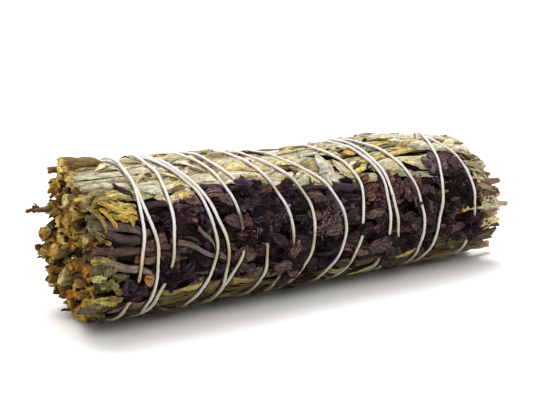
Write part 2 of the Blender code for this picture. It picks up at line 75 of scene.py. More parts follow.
# Light
# A broad soft sun from the front left, a second from behind the stick, and a white room. They
# light the whole table alike, so it stays plain.
for name, way, spread, power in (
    ("front light", (-0.55, -0.6, 1.2), 50, 1.5),
    ("back light", (0.2, 0.55, 1.6), 40, 2.6),
):
    lamp = bpy.data.objects.new(name, bpy.data.lights.new(name, "SUN"))
    lamp.data.energy = power
    lamp.data.color = (1, 0.975, 0.93)
    lamp.data.angle = math.radians(spread)
    lamp.rotation_euler = Vector(way).to_track_quat("Z", "Y").to_euler()
    bpy.context.scene.collection.objects.link(lamp)
room = bpy.data.worlds.new("white room")
room.use_nodes = True
walls = room.node_tree.nodes["Background"].inputs
walls["Color"].default_value = (1, 1, 1, 1)
walls["Strength"].default_value = 0.45
bpy.context.scene.world = room
bpy.context.scene.view_settings.view_transform = "Standard"

# Cotton string
# One length of soft three-ply cotton twine, wound along the stick and back again and knotted at
# the back. It is pulled tight, so it sinks into the herbs, and they have stained it in places.
# the stick's radius at places along it; the room's zero lies at this place along it and beside it
STICK_RADIUS = ((-57, 16.4), (-29, 16.3), (-5, 15.4), (20, 15.9), (38, 15.2), (46, 14.4), (54, 13.4))
BOX_MIDDLE = (-4.05, 0.1)
# millimetres: the string's radius, one turn of its plies, how deep its middle lies under the stick's
# radius, how far it rises over itself, and how far it dips under flowers
STRING_RADIUS, PLY_TURN, STRING_SINK, STRING_RISE, STRING_DIP = 0.34, 1.6, 0.38, 0.55, 1.1
# where each turn crosses these angles: along the stick, on the string's way out and on its way back
CROSSED_AT = (80, 40, 0, -50)
WAY_OUT = (
    (-47.0, -47.0, -45.6, -45.5), (-38.9, -34.3, -31.9, -34.5), (-30.5, -27.0, -25.5, -28.8),
    (-19.5, -15.4, -12.5, -13.5), (-10.5, -2.0, 1.5, -0.8), (10.0, 13.0, 13.7, 14.5), (14.5, 20.5, 23.5, 25.3),
    (35.5, 39.2, 40.2, 41.5),
)
WAY_BACK = (
    (34.5, 31.5, 29.0, 29.0), (11.5, 13.9, 15.8, 18.0), (3.0, 7.0, 6.0, 5.0), (-16.0, -9.0, -6.8, -9.3),
    (-28.0, -23.0, -19.8, -19.0), (-38.2, -33.6, -29.5, -29.0), (-41.0, -41.0, -42.0, -45.0),
    (-47.0, -47.8, -49.0, -50.5),
)
# the angle behind the stick where turns meet, and the knot's place there
BEHIND = -165
KNOT_PLACE = -47.5
COTTON = (0.94, 0.905, 0.91)
HERB_STAIN = (0.52, 0.44, 0.22)
# yellow and brown stains: along, round, and how far each reaches
YELLOW_STAINS = (
    (-19.5, -12, 2.5, 9), (-12.5, -4, 2.5, 11), (-6.5, -8, 2.5, 9), (-9.0, 32, 2.5, 13), (-29.5, -12, 2.0, 8),
    (-15.4, 38, 2.0, 6), (-54, 6, 3, 6),
)
BROWN_STAINS = ((-25.4, 15, 2.5, 8), (-25.3, 5, 2.0, 4), (-12.2, -12, 2.0, 5), (40.5, -12, 2.0, 5))
BROWN = (0.12, 0.06, 0.045)
# where flowers lie over the string: along, round, and how far each reaches
UNDER_FLOWERS = (
    (-22.9, 36, 2.0, 10), (-22.0, 27, 2.0, 9), (-21.2, 18, 2.0, 9), (-20.5, 8, 2.0, 8), (-12.2, -21, 1.7, 8),
    (-12.2, -33, 1.7, 9), (-11.8, -47, 1.7, 9), (-25.3, 1, 1.7, 5), (-41.9, -18, 1.4, 4), (14.4, -31, 1.5, 11),
    (17.8, -42, 1.7, 13), (40.6, -26, 1.7, 11), (-49.9, -27, 1.4, 5), (6.2, -5, 1.2, 3),
)


def wrapped(turn):
    """The same angle, between -180 and 180 degrees."""
    return (turn + 180) % 360 - 180


def smooth(value):
    """An even step from none to one."""
    value = np.clip(value, 0, 1)
    return value * value * (3 - 2 * value)


def radius_at(x):
    """The stick's own radius at places along it."""
    places, radii = zip(*STICK_RADIUS)
    return np.interp(x, places, radii)


def in_room(x, turn, radius):
    """Metres in the room from millimetres along the stick, degrees round it and its radius."""
    angle = np.radians(turn)
    y = -radius * np.cos(angle) - BOX_MIDDLE[1]
    z = radius_at(x) + radius * np.sin(angle)
    return np.stack([x - BOX_MIDDLE[0], y, z], axis=-1) * 0.001


def directions(turn):
    """Unit directions round the stick and away from it, at angles in degrees."""
    angle = np.radians(turn)
    beside = np.stack([0 * angle, np.sin(angle), np.cos(angle)], axis=-1)
    return beside, np.stack([0 * angle, -np.cos(angle), np.sin(angle)], axis=-1)


def on_stick(room_points):
    """The way back from the room: along, round and radius."""
    x = room_points[..., 0] * 1000 + BOX_MIDDLE[0]
    y = room_points[..., 1] * 1000 + BOX_MIDDLE[1]
    z = room_points[..., 2] * 1000 - radius_at(x)
    return x, np.degrees(np.arctan2(z, -y)), np.hypot(y, z)


def spots(x, turn, table):
    """One on the middle of each spot of a table (along, round, and its two reaches), none between."""
    most = 0 * x
    for along, around, reach, spread in table:
        apart = wrapped(turn - around)
        most = np.maximum(most, np.exp(-(((x - along) / reach) ** 2) - (apart / spread) ** 2))
    return most


def wound(turns, first, last):
    """Places along the stick for angles that fall by 360 a turn, from a smooth curve."""
    angle, place = [BEHIND + 360], [first]
    for lap, turn in enumerate(turns):
        angle += [crossed - 360 * lap for crossed in CROSSED_AT] + [BEHIND - 360 * lap]
        after = last if lap + 1 == len(turns) else (turn[-1] + turns[lap + 1][0]) / 2
        place += list(turn) + [after]
    angle, place = np.array(angle[::-1], float), np.array(place[::-1], float)
    slope = np.gradient(place, angle)
    dense = np.arange(angle[0], angle[-1] + 1, 3.0)
    piece = np.clip(np.searchsorted(angle, dense, side="right") - 1, 0, len(angle) - 2)
    width = angle[piece + 1] - angle[piece]
    u = (dense - angle[piece]) / width
    value = (2 * u**3 - 3 * u**2 + 1) * place[piece] + (u**3 - 2 * u**2 + u) * width * slope[piece]
    value += (3 * u**2 - 2 * u**3) * place[piece + 1] + (u**3 - u**2) * width * slope[piece + 1]
    return dense, value


FAR_PLACE = (WAY_OUT[-1][-1] + WAY_BACK[0][0]) / 2
way_out = wound(WAY_OUT, KNOT_PLACE, FAR_PLACE)
way_back = wound(WAY_BACK, FAR_PLACE, KNOT_PLACE)
# a grid over the stick's surface: millimetres along it and degrees round it
GRID_STEP = 0.25
GRID_ALONG = np.arange(-66, 66.01, GRID_STEP)
GRID_ROUND = np.arange(0, 361, 1.0)
grid_x, grid_turn = np.meshgrid(GRID_ALONG, GRID_ROUND, indexing="ij")


def nearness(way):
    """How far each spot of the stick's surface is from that way of the string."""
    angle, place = way
    slope = np.gradient(place, angle)
    far = 99.0
    near = np.full(grid_x.shape, far)
    for lap in range(-1, len(WAY_OUT) + 1):
        at = wrapped(grid_turn) - 360 * lap
        inside = (at >= angle[0]) & (at <= angle[-1])
        steep = np.degrees(np.interp(at, angle, slope)) / radius_at(grid_x)
        gap = np.abs(grid_x - np.interp(at, angle, place)) / np.sqrt(1 + steep**2)
        near = np.minimum(near, np.where(inside, gap, far))
    return near


near_way_out = nearness(way_out)
near_string = np.minimum(near_way_out, nearness(way_back))


def read_grid(grid, x, turn):
    """Values of a grid between its points."""
    i = np.clip((x - GRID_ALONG[0]) / GRID_STEP, 0, len(GRID_ALONG) - 1.001)
    j = np.clip(turn % 360, 0, 359.999)
    a, b = i.astype(int), j.astype(int)
    u, v = i - a, j - b
    low = grid[a, b] * (1 - u) + grid[a + 1, b] * u
    high = grid[a, b + 1] * (1 - u) + grid[a + 1, b + 1] * u
    return low * (1 - v) + high * v


def above_table(x, turn, gap):
    """The largest radius that stays the gap above the table."""
    return (radius_at(x) - gap) / np.maximum(-np.sin(np.radians(turn)), 1e-3)


class Heap:
    """What one piece is made of so far."""

    def __init__(self):
        self.points, self.tints, self.grains, self.faces, self.finishes = [], [], [], [], []
        self.count = 0

    def add(self, points, tints, grains, faces, finish):
        """Many like things at once: points (things, points each, 3) and the faces of one thing."""
        things, each = points.shape[:2]
        self.points.append(points.reshape(-1, 3))
        self.tints.append(np.broadcast_to(tints, points.shape).reshape(-1, 3))
        self.grains.append(np.broadcast_to(grains, points.shape).reshape(-1, 3))
        for group in faces:
            start = self.count + np.arange(things)[:, None, None] * each
            self.faces.append((group[None] + start).reshape(-1, group.shape[1]))
            self.finishes.append(np.full(things * len(group), finish))
        self.count += things * each

    def add_tubes(self, points, tints, grains, finish):
        """Closed tubes: points (tubes, rings, sides, 3), and one more in the middle of each end."""
        tubes, rings, sides = points.shape[:3]

        def with_ends(values):
            ends = np.stack([values[:, 0].mean(axis=1), values[:, -1].mean(axis=1)], axis=1)
            return np.concatenate([values.reshape(tubes, -1, 3), ends], axis=1)

        self.add(with_ends(points), with_ends(tints), with_ends(grains), tube_faces(rings, sides), finish)

    def piece(self, name, materials, slot, *nodes):
        """One object in the room, which rides on the stick and stands for the named solids."""
        mesh = bpy.data.meshes.new(name)
        loops = np.concatenate([group.ravel() for group in self.faces])
        sizes = np.concatenate([np.full(len(group), group.shape[1]) for group in self.faces])
        mesh.vertices.add(self.count)
        mesh.vertices.foreach_set("co", np.concatenate(self.points).ravel())
        mesh.loops.add(len(loops))
        mesh.loops.foreach_set("vertex_index", loops)
        mesh.polygons.add(len(sizes))
        mesh.polygons.foreach_set("loop_start", np.cumsum(sizes) - sizes)
        mesh.polygons.foreach_set("material_index", np.concatenate(self.finishes))
        mesh.update(calc_edges=True)
        tint = mesh.attributes.new("tint", "FLOAT_COLOR", "POINT")
        tints = np.clip(np.concatenate(self.tints), 0.002, 0.95)
        tint.data.foreach_set("color", np.column_stack([tints, np.ones(len(tints))]).ravel())
        grain = mesh.attributes.new("grain", "FLOAT_VECTOR", "POINT")
        grain.data.foreach_set("vector", np.concatenate(self.grains).ravel())
        for material in materials:
            mesh.materials.append(material)
        mesh.shade_smooth()
        mesh.set_sharp_from_angle(angle=math.radians(52))
        piece = bpy.data.objects.new(name, mesh)
        bpy.context.scene.collection.objects.link(piece)
        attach(piece, "root")
        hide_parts(*nodes)


def tube_faces(rings, sides):
    """Faces of a closed tube: its rings, then the middle of its first end and of its last."""
    index = np.arange(rings * sides).reshape(rings, sides)
    beside = np.roll(index, -1, axis=1)
    wall = np.stack([index[:-1], beside[:-1], beside[1:], index[1:]], axis=-1).reshape(-1, 4)
    first = np.stack([np.full(sides, rings * sides), beside[0], index[0]], axis=-1)
    last = np.stack([np.full(sides, rings * sides + 1), index[-1], beside[-1]], axis=-1)
    return [wall, np.concatenate([first, last])]


def along_path(path):
    """Length so far, and unit directions ahead, at each point of a path in metres."""
    step = np.linalg.norm(np.diff(path, axis=0), axis=1)
    ahead = np.gradient(path, axis=0)
    return np.concatenate([[0], np.cumsum(step)]), ahead / np.linalg.norm(ahead, axis=1)[:, None]


def matt(name, roughness, sheen, gloss, bump, layers):
    """A matt skin: each point's own tint, made lighter and darker by layers of noise along its grain.

    A layer says how it stretches the grain, its scale and detail, and what it maps from and to. Bumps
    follow the first layer; they are given as their strength and their height in metres.
    """
    material = bpy.data.materials.new(name)
    material.use_nodes = True
    nodes, links = material.node_tree.nodes, material.node_tree.links
    shader = nodes["Principled BSDF"].inputs
    shader["Roughness"].default_value = roughness
    shader["Sheen Weight"].default_value = sheen
    shader["Specular IOR Level"].default_value = gloss

    def node(kind, inputs, operation=None):
        """A node whose inputs are numbers or the outputs of other nodes."""
        made = nodes.new("ShaderNode" + kind)
        if operation:
            made.operation = operation
        for socket, value in inputs.items():
            if isinstance(value, bpy.types.NodeSocket):
                links.new(value, made.inputs[socket])
            else:
                made.inputs[socket].default_value = value
        return made.outputs[0]

    grain, tint = nodes.new("ShaderNodeAttribute"), nodes.new("ShaderNodeAttribute")
    grain.attribute_name, tint.attribute_name = "grain", "tint"
    noises, light = [], None
    for stretch, scale, detail, low, high, dark, pale in layers:
        place = grain.outputs["Vector"]
        if stretch:
            place = node("VectorMath", {0: place, 1: stretch}, "MULTIPLY")
        noises.append(node("TexNoise", {"Vector": place, "Scale": scale, "Detail": detail}))
        ends = {"From Min": low, "From Max": high, "To Min": dark, "To Max": pale}
        mapped = node("MapRange", {"Value": noises[-1], **ends})
        light = mapped if light is None else node("Math", {0: light, 1: mapped}, "MULTIPLY")
    colored = node("VectorMath", {0: tint.outputs["Color"], "Scale": light}, "SCALE")
    links.new(colored, shader["Base Color"])
    strength, height = bump
    relief = node("Bump", {"Strength": strength, "Distance": height, "Height": noises[0]})
    links.new(relief, shader["Normal"])
    return material


def twine(heap, path, outward):
    """Three-ply twine along a path in metres; the plies show as three lobes that turn slowly, with painted shade in
    the grooves between them.
    """
    sides = 9
    length, ahead = along_path(path)
    beside = np.cross(ahead, outward)
    beside /= np.linalg.norm(beside, axis=1)[:, None]
    upward = np.cross(beside, ahead)
    round_it = (np.arange(sides) * 2 * math.pi / sides)[None]
    along = length[:, None] * 1000
    lobe = np.cos(3 * round_it - along * 2 * math.pi / PLY_TURN)
    uneven = 1 + 0.06 * np.sin(along * 1.3) + 0.05 * np.sin(along * 0.37 + 2)
    radius = STRING_RADIUS * 0.001 * uneven * (0.92 + 0.1 * lobe)
    points = path[:, None] + radius[..., None] * (
        np.cos(round_it)[..., None] * beside[:, None] + np.sin(round_it)[..., None] * upward[:, None]
    )
    x, turn, _ = on_stick(path)
    turn = wrapped(turn)
    slow = 0.6 + 0.4 * np.sin(along[:, 0] * 0.21 + 1) * np.sin(along[:, 0] * 0.083)
    low_front = smooth((32 - turn) / 45) * smooth((turn + 120) / 40)
    stained = slow * (0.1 + 0.9 * low_front) * 1.1 + 0.75 * spots(x, turn, YELLOW_STAINS)
    stained = np.clip(stained, 0, 1)[:, None]
    color = np.array(COTTON) * (1 - stained) + np.array(HERB_STAIN) * stained
    brown = np.clip(spots(x, turn, BROWN_STAINS) * 1.2, 0, 0.9)[:, None]
    color = color * (1 - brown) + np.array(BROWN) * brown
    # painted shade: the twine is tinted a little darker in the grooves between its plies
    tint = (0.92 + 0.08 * lobe)[..., None] * color[:, None]
    across = np.cos(round_it) + 0 * along
    grain = np.stack([along + 0 * across, 1.5 * across, 1.5 * np.sin(round_it) + 0 * along], -1)
    points = np.concatenate([points.reshape(-1, 3), path[:1], path[-1:]])
    tint = np.concatenate([tint.reshape(-1, 3), color[:1], color[-1:]])
    grain = np.concatenate([grain.reshape(-1, 3), grain[0, :1], grain[-1, :1]])
    faces = [group[:, ::-1] for group in tube_faces(len(path), sides)]
    heap.add(points[None], tint[None], grain[None], faces, 0)


def string_route(way, over):
    """Points of one way of the string in the room, and the direction away from the stick."""
    angle, place = way
    step, table_gap = 0.4, 0.15
    dense = np.arange(angle[0], angle[-1], step)[::-1]
    x = np.interp(dense, angle, place)
    radius = np.minimum(radius_at(x) - STRING_SINK, above_table(x, dense, table_gap + STRING_RADIUS))
    free = np.clip((np.sin(np.radians(dense)) + 0.95) / 0.3, 0, 1)
    if over:
        crossing = np.exp(-((read_grid(near_way_out, x, dense) / 1.1) ** 2))
        radius = radius + STRING_RISE * crossing * free
    radius = radius + (0.06 * np.sin(dense * 0.11) + 0.05 * np.sin(dense * 0.29)) * free
    x = x + 0.12 * np.sin(dense * 0.17) + 0.1 * np.sin(dense * 0.06 + 1)
    radius = radius - STRING_DIP * spots(x, wrapped(dense), UNDER_FLOWERS)
    return in_room(x, dense, radius), directions(dense)[1]


def evenly(path, outward, step):
    """The same path and its outward directions, at even steps in metres."""
    length, _ = along_path(path)
    places = np.arange(0, length[-1], step)

    def at_places(values):
        return np.stack([np.interp(places, length, values[:, axis]) for axis in range(3)], -1)

    return at_places(path), at_places(outward)


out_path, out_up = string_route(way_out, False)
back_path, back_up = string_route(way_back, True)
whole_path, whole_up = evenly(
    np.concatenate([out_path, back_path]), np.concatenate([out_up, back_up]), 0.00045
)
string_heap = Heap()
twine(string_heap, whole_path, whole_up)
knot_middle = in_room(KNOT_PLACE, BEHIND, radius_at(KNOT_PLACE) - 0.4)
_, knot_up = directions(BEHIND)
knot_side = np.cross(knot_up, [1, 0, 0])
bow = np.linspace(0, 2 * math.pi, 60)
knot_loop = knot_middle + 0.00055 * (
    (np.sin(bow) + 1.6 * np.sin(2 * bow))[:, None] * np.array([1, 0, 0])
    + (np.cos(bow) - 1.6 * np.cos(2 * bow))[:, None] * knot_side
    - 0.9 * np.sin(3 * bow)[:, None] * knot_up
)
twine(string_heap, knot_loop, np.tile(knot_up, (60, 1)) + 0.3 * knot_side)
# the two tails of the knot: how far each reaches along the stick and round it
for reach, around in ((5.8, 16), (-1.6, -17)):
    part = np.linspace(0, 1, 40)
    x = KNOT_PLACE + 0.3 + reach * part
    tail = in_room(x, BEHIND + around * part, radius_at(x) - 0.1 + 0.5 * part**2)
    twine(string_heap, tail, np.tile(knot_up, (40, 1)) + 0.2 * knot_side)
white_cotton = matt("white cotton", 0.9, 0.15, 0.2, (0.5, 0.0001), [(None, 4, 3, 0.3, 0.7, 0.86, 1.08)])
string_heap.piece("cotton_twine", [white_cotton], "cotton_string", "string")

# Bare stems
# Sixteen straight sage stems with grooved bark in the middle of the stick, cut through at the left
# end. Their ochre pith shows there between torn bark and crumpled leaves, which are thin closed
# sheets that are laid from place to place and pressed in under the string.


def lid(x, turn, swell, step, near, gap=0.1):
    """How far over the stick's radius a herb may reach: low under the string, high between turns."""
    apart = np.maximum(read_grid(near, x, turn) - step / 2, 0)
    rise = np.interp(apart, (0.12, 0.45, 1.0, 1.8, 2.8), (0, 0.46, 0.76, 0.92, 1))
    top = -0.95 + (0.95 + swell) * rise
    return np.minimum(top, above_table(x, turn, gap) - radius_at(x))


def pressed(height, top, give):
    """Heights pressed down softly below the top, so that layers stay in their order."""
    room_left = top - height
    return np.where(room_left > give, height, top - give * np.exp(np.minimum(room_left / give, 1) - 1))


def left_face(share, turn):
    """Where the stems were cut off, along the stick: a low dome, further out at the front."""
    turn = wrapped(turn)
    front = smooth((128 - turn) / 58) * smooth((turn + 98) / 54)
    low_back = np.exp(-((wrapped(turn - 212) / 34) ** 2))
    return -53.9 - 1.8 * (1 - share**2) - share * (4.6 * front + 2.0 * low_back)


def right_face(turn):
    """Where herbs end at the right, along the stick: sooner at the top of the front."""
    return 48.2 - 4.0 * np.exp(-(((wrapped(turn) - 62) / 30) ** 2))


def painted_shade_at(x, turn, height):
    """Painted shade: herbs deep in the stick are tinted darker and browner, as shade would make them, unless they
    show at one of its ends.
    """
    face = left_face(1 + height / radius_at(x), turn)
    open_to = np.maximum(smooth((height + 1.9) / 1.8), 1 - smooth((x - face - 0.4) / 2.2))
    open_to = np.maximum(open_to, smooth((x - 41.0) / 3.5))
    shade = 0.14 + 0.86 * open_to
    return np.stack([shade, shade**1.1, shade**1.4], axis=-1)


def mixed(rng, palette, count, spread=0.16):
    """A colour for each thing from a palette, a little lighter or darker and warmer or cooler.

    A palette's rows give the share of things that have a colour, and the colour.
    """
    palette = np.array(palette)
    shares = palette[:, 0]
    picked = palette[rng.choice(len(palette), count, p=shares / sum(shares)), 1:]
    light = np.clip(1 + spread * rng.normal(size=(count, 1)), 0.4, 1.6)
    warm = 1 + 0.05 * rng.normal(size=(count, 1)) * np.array([1, 0, -1.5])
    return np.clip(picked * light * warm, 0.003, 0.9)


def slab_faces(rows, columns):
    """Faces of a closed sheet: one side, the other side and the rim between them."""
    index = np.arange(rows * columns).reshape(rows, columns)
    over = np.stack([index[:-1, :-1], index[1:, :-1], index[1:, 1:], index[:-1, 1:]], axis=-1)
    over = over.reshape(-1, 4)
    edge = np.concatenate([index[0, :-1], index[:-1, -1], index[-1, :0:-1], index[:0:-1, 0]])
    after = np.roll(edge, -1)
    rim = np.stack([edge, after, after + index.size, edge + index.size], axis=-1)
    return [np.concatenate([over, over[:, ::-1] + index.size, rim])]


# half widths of leaves from root to tip
OUTLINES = {
    "lance": lambda u: np.maximum(np.sin(math.pi * u**0.75) ** 0.75, 0.1),
    "strap": lambda u: np.clip(np.minimum(u / 0.1, (1 - u) / 0.12) ** 0.5, 0.22, 1),
    "round": lambda u: np.maximum(np.maximum(1 - (2 * u - 1) ** 2, 0) ** 0.5 * (0.75 + 0.35 * u), 0.15),
}
# how a leaf looks, in millimetres, degrees and shares; a pair of numbers is a range to draw from
LEAF_LOOK = {
    "length": (10, 20), "width": (1.8, 3.6), "heading": (-8, 8), "root": (-1.8, -1.0), "tip": (-0.7, 0.1),
    "arch": (0.1, 0.7), "curl": (0.9, 2.0), "fold": (-0.1, 0.35), "wave": (0.0, 0.3), "twist": (-0.3, 0.3),
    "bend": (-14, 14), "bow": (-0.5, 1.2), "crumple": 0.12, "ragged": 0.1, "thick": 0.14, "mottle": 0.14,
    "outline": "lance", "rows": 13, "columns": 5, "swell": (-0.75, 0.35), "finish": 0, "rim": None,
    "rim_share": 0.5, "past": 0, "near": near_string, "step": 1.0, "give": 0.3, "convex": 0.7, "gap": 0.1,
}


def drawer(rng, count, look):
    """A function that draws a number for each thing from one of its look's ranges."""

    def drawn(word):
        return rng.uniform(*look[word], (count, 1, 1))

    return drawn


def laid(heap, rng, place, angle, height, colors, grain, look):
    """Presses sheets onto the stick and gives them their thickness, tint and faces."""
    count, rows, columns = height.shape
    v = np.linspace(-1, 1, columns)[None, None, :]
    swell = drawer(rng, count, look)("swell")
    top = lid(place, angle, swell, look["step"], look["near"], look["gap"]) - look["thick"] * 0.6
    least_radius = 0.3
    height = np.maximum(pressed(height, top, look["give"]), least_radius - radius_at(place))
    middle = in_room(place, angle, radius_at(place) + height)
    normal = np.cross(np.gradient(middle, axis=1), np.gradient(middle, axis=2))
    normal /= np.maximum(np.linalg.norm(normal, axis=-1, keepdims=True), 1e-12)
    thickness = look["thick"] * 0.0005 * (1 - 0.35 * np.abs(v) ** 3)[..., None]
    points = np.stack([middle + normal * thickness, middle - normal * thickness], axis=1)
    rim = colors if look["rim"] is None else np.array(look["rim"])[None]
    share = look["rim_share"] * (np.abs(v) ** 3 + 0 * height)[..., None]
    tint = colors[:, None, None] * (1 - share) + rim[:, None, None] * share
    tint = tint * (1 + look["mottle"] * rng.normal(size=(*height.shape, 1)))
    # painted shade: sheets deep in the stick are tinted darker and browner
    tint = tint * painted_shade_at(place, angle, height)

    def both(values):
        return np.stack([values, values], axis=1).reshape(count, -1, 3)

    faces = slab_faces(rows, columns)
    heap.add(points.reshape(count, -1, 3), both(tint), both(grain), faces, look["finish"])


def creases(rng, u, v, length, count, amount):
    """Random sharp creases over sheets, in millimetres."""
    lift = 0 * (u + v)
    for size in (1.0, 0.7, 0.5):
        waves = rng.uniform(0.4, 1.8, (2, count, 1, 1)) / size * np.array([1, 2.2])[:, None, None, None]
        phase = rng.uniform(0, 6.28, (count, 1, 1))
        ridge = np.abs(np.sin(waves[0] * u * length / 4 + waves[1] * v + phase))
        lift = lift + amount * size * (ridge - 0.6)
    return lift


def sheet_shape(rng, count, look):
    """What leaves and scraps share: where each point is along and across, its lift, and its length."""
    u = np.linspace(0, 1, look["rows"])[None, :, None]
    v = np.linspace(-1, 1, look["columns"])[None, None, :]
    drawn = drawer(rng, count, look)
    length, width = drawn("length"), drawn("width")
    half = width / 2 * OUTLINES[look["outline"]](u)
    half = half * (1 + look["ragged"] * rng.normal(size=(count, look["rows"], 1)))
    curl = drawn("curl") * np.where(rng.random((count, 1, 1)) < look["convex"], 1, -1)
    lateral = half * np.sin(v * np.abs(curl)) / np.abs(curl)
    lift = -half * (1 - np.cos(v * curl)) / curl
    lift = lift - drawn("fold") * half * np.abs(v)
    ripple = rng.uniform(1.5, 4, (count, 1, 1)) * u + rng.uniform(0, 1, (count, 1, 1))
    lift = lift + drawn("wave") * half * v * np.sin(2 * math.pi * ripple)
    lift = lift + creases(rng, u, v, length, count, look["crumple"])
    seed = rng.uniform(0, 400, (count, 1, 1))
    grain = np.stack([u * length + 0 * v, v * width / 2 + 0 * u, seed + 0 * u + 0 * v], axis=-1)
    return u, v, length, lateral, lift, grain


def leaves(heap, rng, x, turn, colors, **how):
    """Lays a leaf from each place, in millimetres along and degrees round."""
    look = {**LEAF_LOOK, **how}
    count = len(x)
    u, v, length, lateral, lift, grain = sheet_shape(rng, count, look)
    drawn = drawer(rng, count, look)
    heading = np.radians(drawn("heading") + drawn("bend") * (u - 0.5))
    step = length / (look["rows"] - 1)
    ahead = np.cumsum(np.cos(heading), axis=1) - np.cos(heading[:, :1])
    aside = np.cumsum(np.sin(heading), axis=1) - np.sin(heading[:, :1])
    turned = drawn("twist") * (0.4 + u) + rng.normal(size=(count, 1, 1)) * 0.1
    lateral, lift = (
        lateral * np.cos(turned) - lift * np.sin(turned),
        lateral * np.sin(turned) + lift * np.cos(turned),
    )
    root, tip = drawn("root"), drawn("tip")
    level = root + (tip - root) * u + drawn("arch") * np.sin(math.pi * u)
    limit = right_face(turn)[:, None, None] + look["past"] + rng.uniform(-2, 1.5, (count, 1, 1))
    start = np.minimum(x[:, None, None], limit - ahead[:, -1:] * step)
    place = start + ahead * step - lateral * np.sin(heading)
    around = aside * step + lateral * np.cos(heading)
    lever = np.maximum(radius_at(place) + (root + tip) / 2, 2.5)
    angle = turn[:, None, None] + np.degrees(around / lever)
    laid(heap, rng, place, angle, level + lift, colors, grain, look)


def scraps(heap, rng, middle, ahead, up, colors, **how):
    """Lays a crumpled scrap at each middle, in millimetres in the room, facing up its own way."""
    look = {**LEAF_LOOK, "outline": "strap", "rows": 8, **how}
    count = len(middle)
    ahead = ahead / np.linalg.norm(ahead, axis=1, keepdims=True)
    up = up - (up * ahead).sum(axis=1, keepdims=True) * ahead
    up = up / np.linalg.norm(up, axis=1, keepdims=True)
    side = np.cross(up, ahead)
    u, v, length, lateral, lift, grain = sheet_shape(rng, count, look)
    angle = drawer(rng, count, look)("bow") * (u - 0.5)
    step = length / (look["rows"] - 1)
    far = (np.cumsum(np.cos(angle), axis=1) - np.cos(angle[:, :1])) * step
    high = (np.cumsum(np.sin(angle), axis=1) - np.sin(angle[:, :1])) * step
    far, high = far - far.mean(axis=1, keepdims=True), high - high.mean(axis=1, keepdims=True)
    points = (
        middle[:, None, None]
        + (far - lift * np.sin(angle))[..., None] * ahead[:, None, None]
        + (high + lift * np.cos(angle))[..., None] * up[:, None, None]
        + (lateral + 0 * u)[..., None] * side[:, None, None]
    )
    place, around, reach = on_stick(points * 0.001)
    laid(heap, rng, place, around, reach - radius_at(place), colors, grain, look)


def seen_leaves(heap, rng, seen, **how):
    """Leaves laid one by one: along, round, heading, length, width, depth and colour of each."""
    seen = np.array(seen)
    heading, length, width, depth = seen[:, 2:6].T[..., None, None]
    leaves(
        heap, rng, seen[:, 0], seen[:, 1], seen[:, 6:], heading=(heading, heading),
        length=(length, length), width=(width, width), root=(-depth, -depth), tip=(-depth, -depth), **how,
    )


def dried(name, streak, speck, vein, roughness, sheen, gloss, bump_height):
    """Dried plant skin, streaked along its grain, specked and veined."""
    streaks = ((0.35, 3.2, 1.0), 1.0, 3, 0.32, 0.68, 1 - streak, 1 + streak * 0.6)
    specks = (None, 0.9, 4, 0.36, 0.5, 1 - speck, 1.0)
    veins = ((0.9, 6.5, 1.0), 1.0, 2, 0.52, 0.66, 1.0, 1 + vein)
    return matt(name, roughness, sheen, gloss, (0.8, bump_height), [streaks, specks, veins])


leaf_skin = dried("dried leaf", 0.4, 0.4, 0.25, 0.85, 0.05, 0.25, 0.00016)
stem_skin = dried("dried stem", 0.5, 0.4, 0.3, 0.8, 0.0, 0.25, 0.00024)

# palettes: the share and the colour of bark, pith, torn bark, and crumpled leaves at the two ends
BARK = (
    (0.3, 0.302, 0.178, 0.0436), (0.3, 0.286, 0.199, 0.0594), (0.2, 0.37, 0.263, 0.0792),
    (0.2, 0.202, 0.0998, 0.0238),
)
PITH = ((0.35, 0.70, 0.50, 0.14), (0.3, 0.52, 0.32, 0.055), (0.15, 0.78, 0.62, 0.24), (0.2, 0.42, 0.20, 0.025))
TORN = (
    (0.26, 0.46, 0.28, 0.045), (0.26, 0.30, 0.115, 0.012), (0.2, 0.11, 0.045, 0.008), (0.12, 0.52, 0.40, 0.11),
    (0.16, 0.045, 0.02, 0.005),
)
LEAF_END = (
    (0.3, 0.17, 0.15, 0.042), (0.28, 0.085, 0.075, 0.022), (0.12, 0.40, 0.27, 0.04), (0.08, 0.48, 0.38, 0.115),
    (0.1, 0.11, 0.05, 0.008), (0.12, 0.03, 0.019, 0.005),
)
RIGHT_LITTER = (
    (1, 0.64, 0.55, 0.32), (1, 0.30, 0.20, 0.11), (0.6, 0.74, 0.68, 0.44), (0.5, 0.64, 0.48, 0.14),
    (1, 0.11, 0.065, 0.045),
)
# the middle of the flowers on the front, along and round, and how far they reach round from it
FLOWER_MIDDLE = ((-54, -1), (-25, 3), (0, -6), (35, 14), (54, 15))
FLOWER_HALF_WIDTH = 41
# how a stem looks, in the same units as a leaf
STALK_LOOK = {
    "rows": 40, "sides": 12, "ridge": 0.07, "groove": 0.06, "flat": 1.0, "wander": 0.35, "sink": 0.0,
    "slant": 0.5, "swell": (-0.5, 0.35), "taper": 0.15, "torn": 0.16, "crowd": 0.0, "mottle": 0.12,
    "step": 1.0, "near": near_string, "give": 0.3,
}


def flower_middle(x):
    """The angle of the middle of the flowers; every stem follows it, so all turn a little."""
    places, angles = zip(*FLOWER_MIDDLE)
    return np.interp(x, places, angles)


def beside_flowers(x, around, depth):
    """Places so many degrees from the middle of the flowers: along, round and depth."""
    return np.column_stack([x, flower_middle(x) + around, depth])


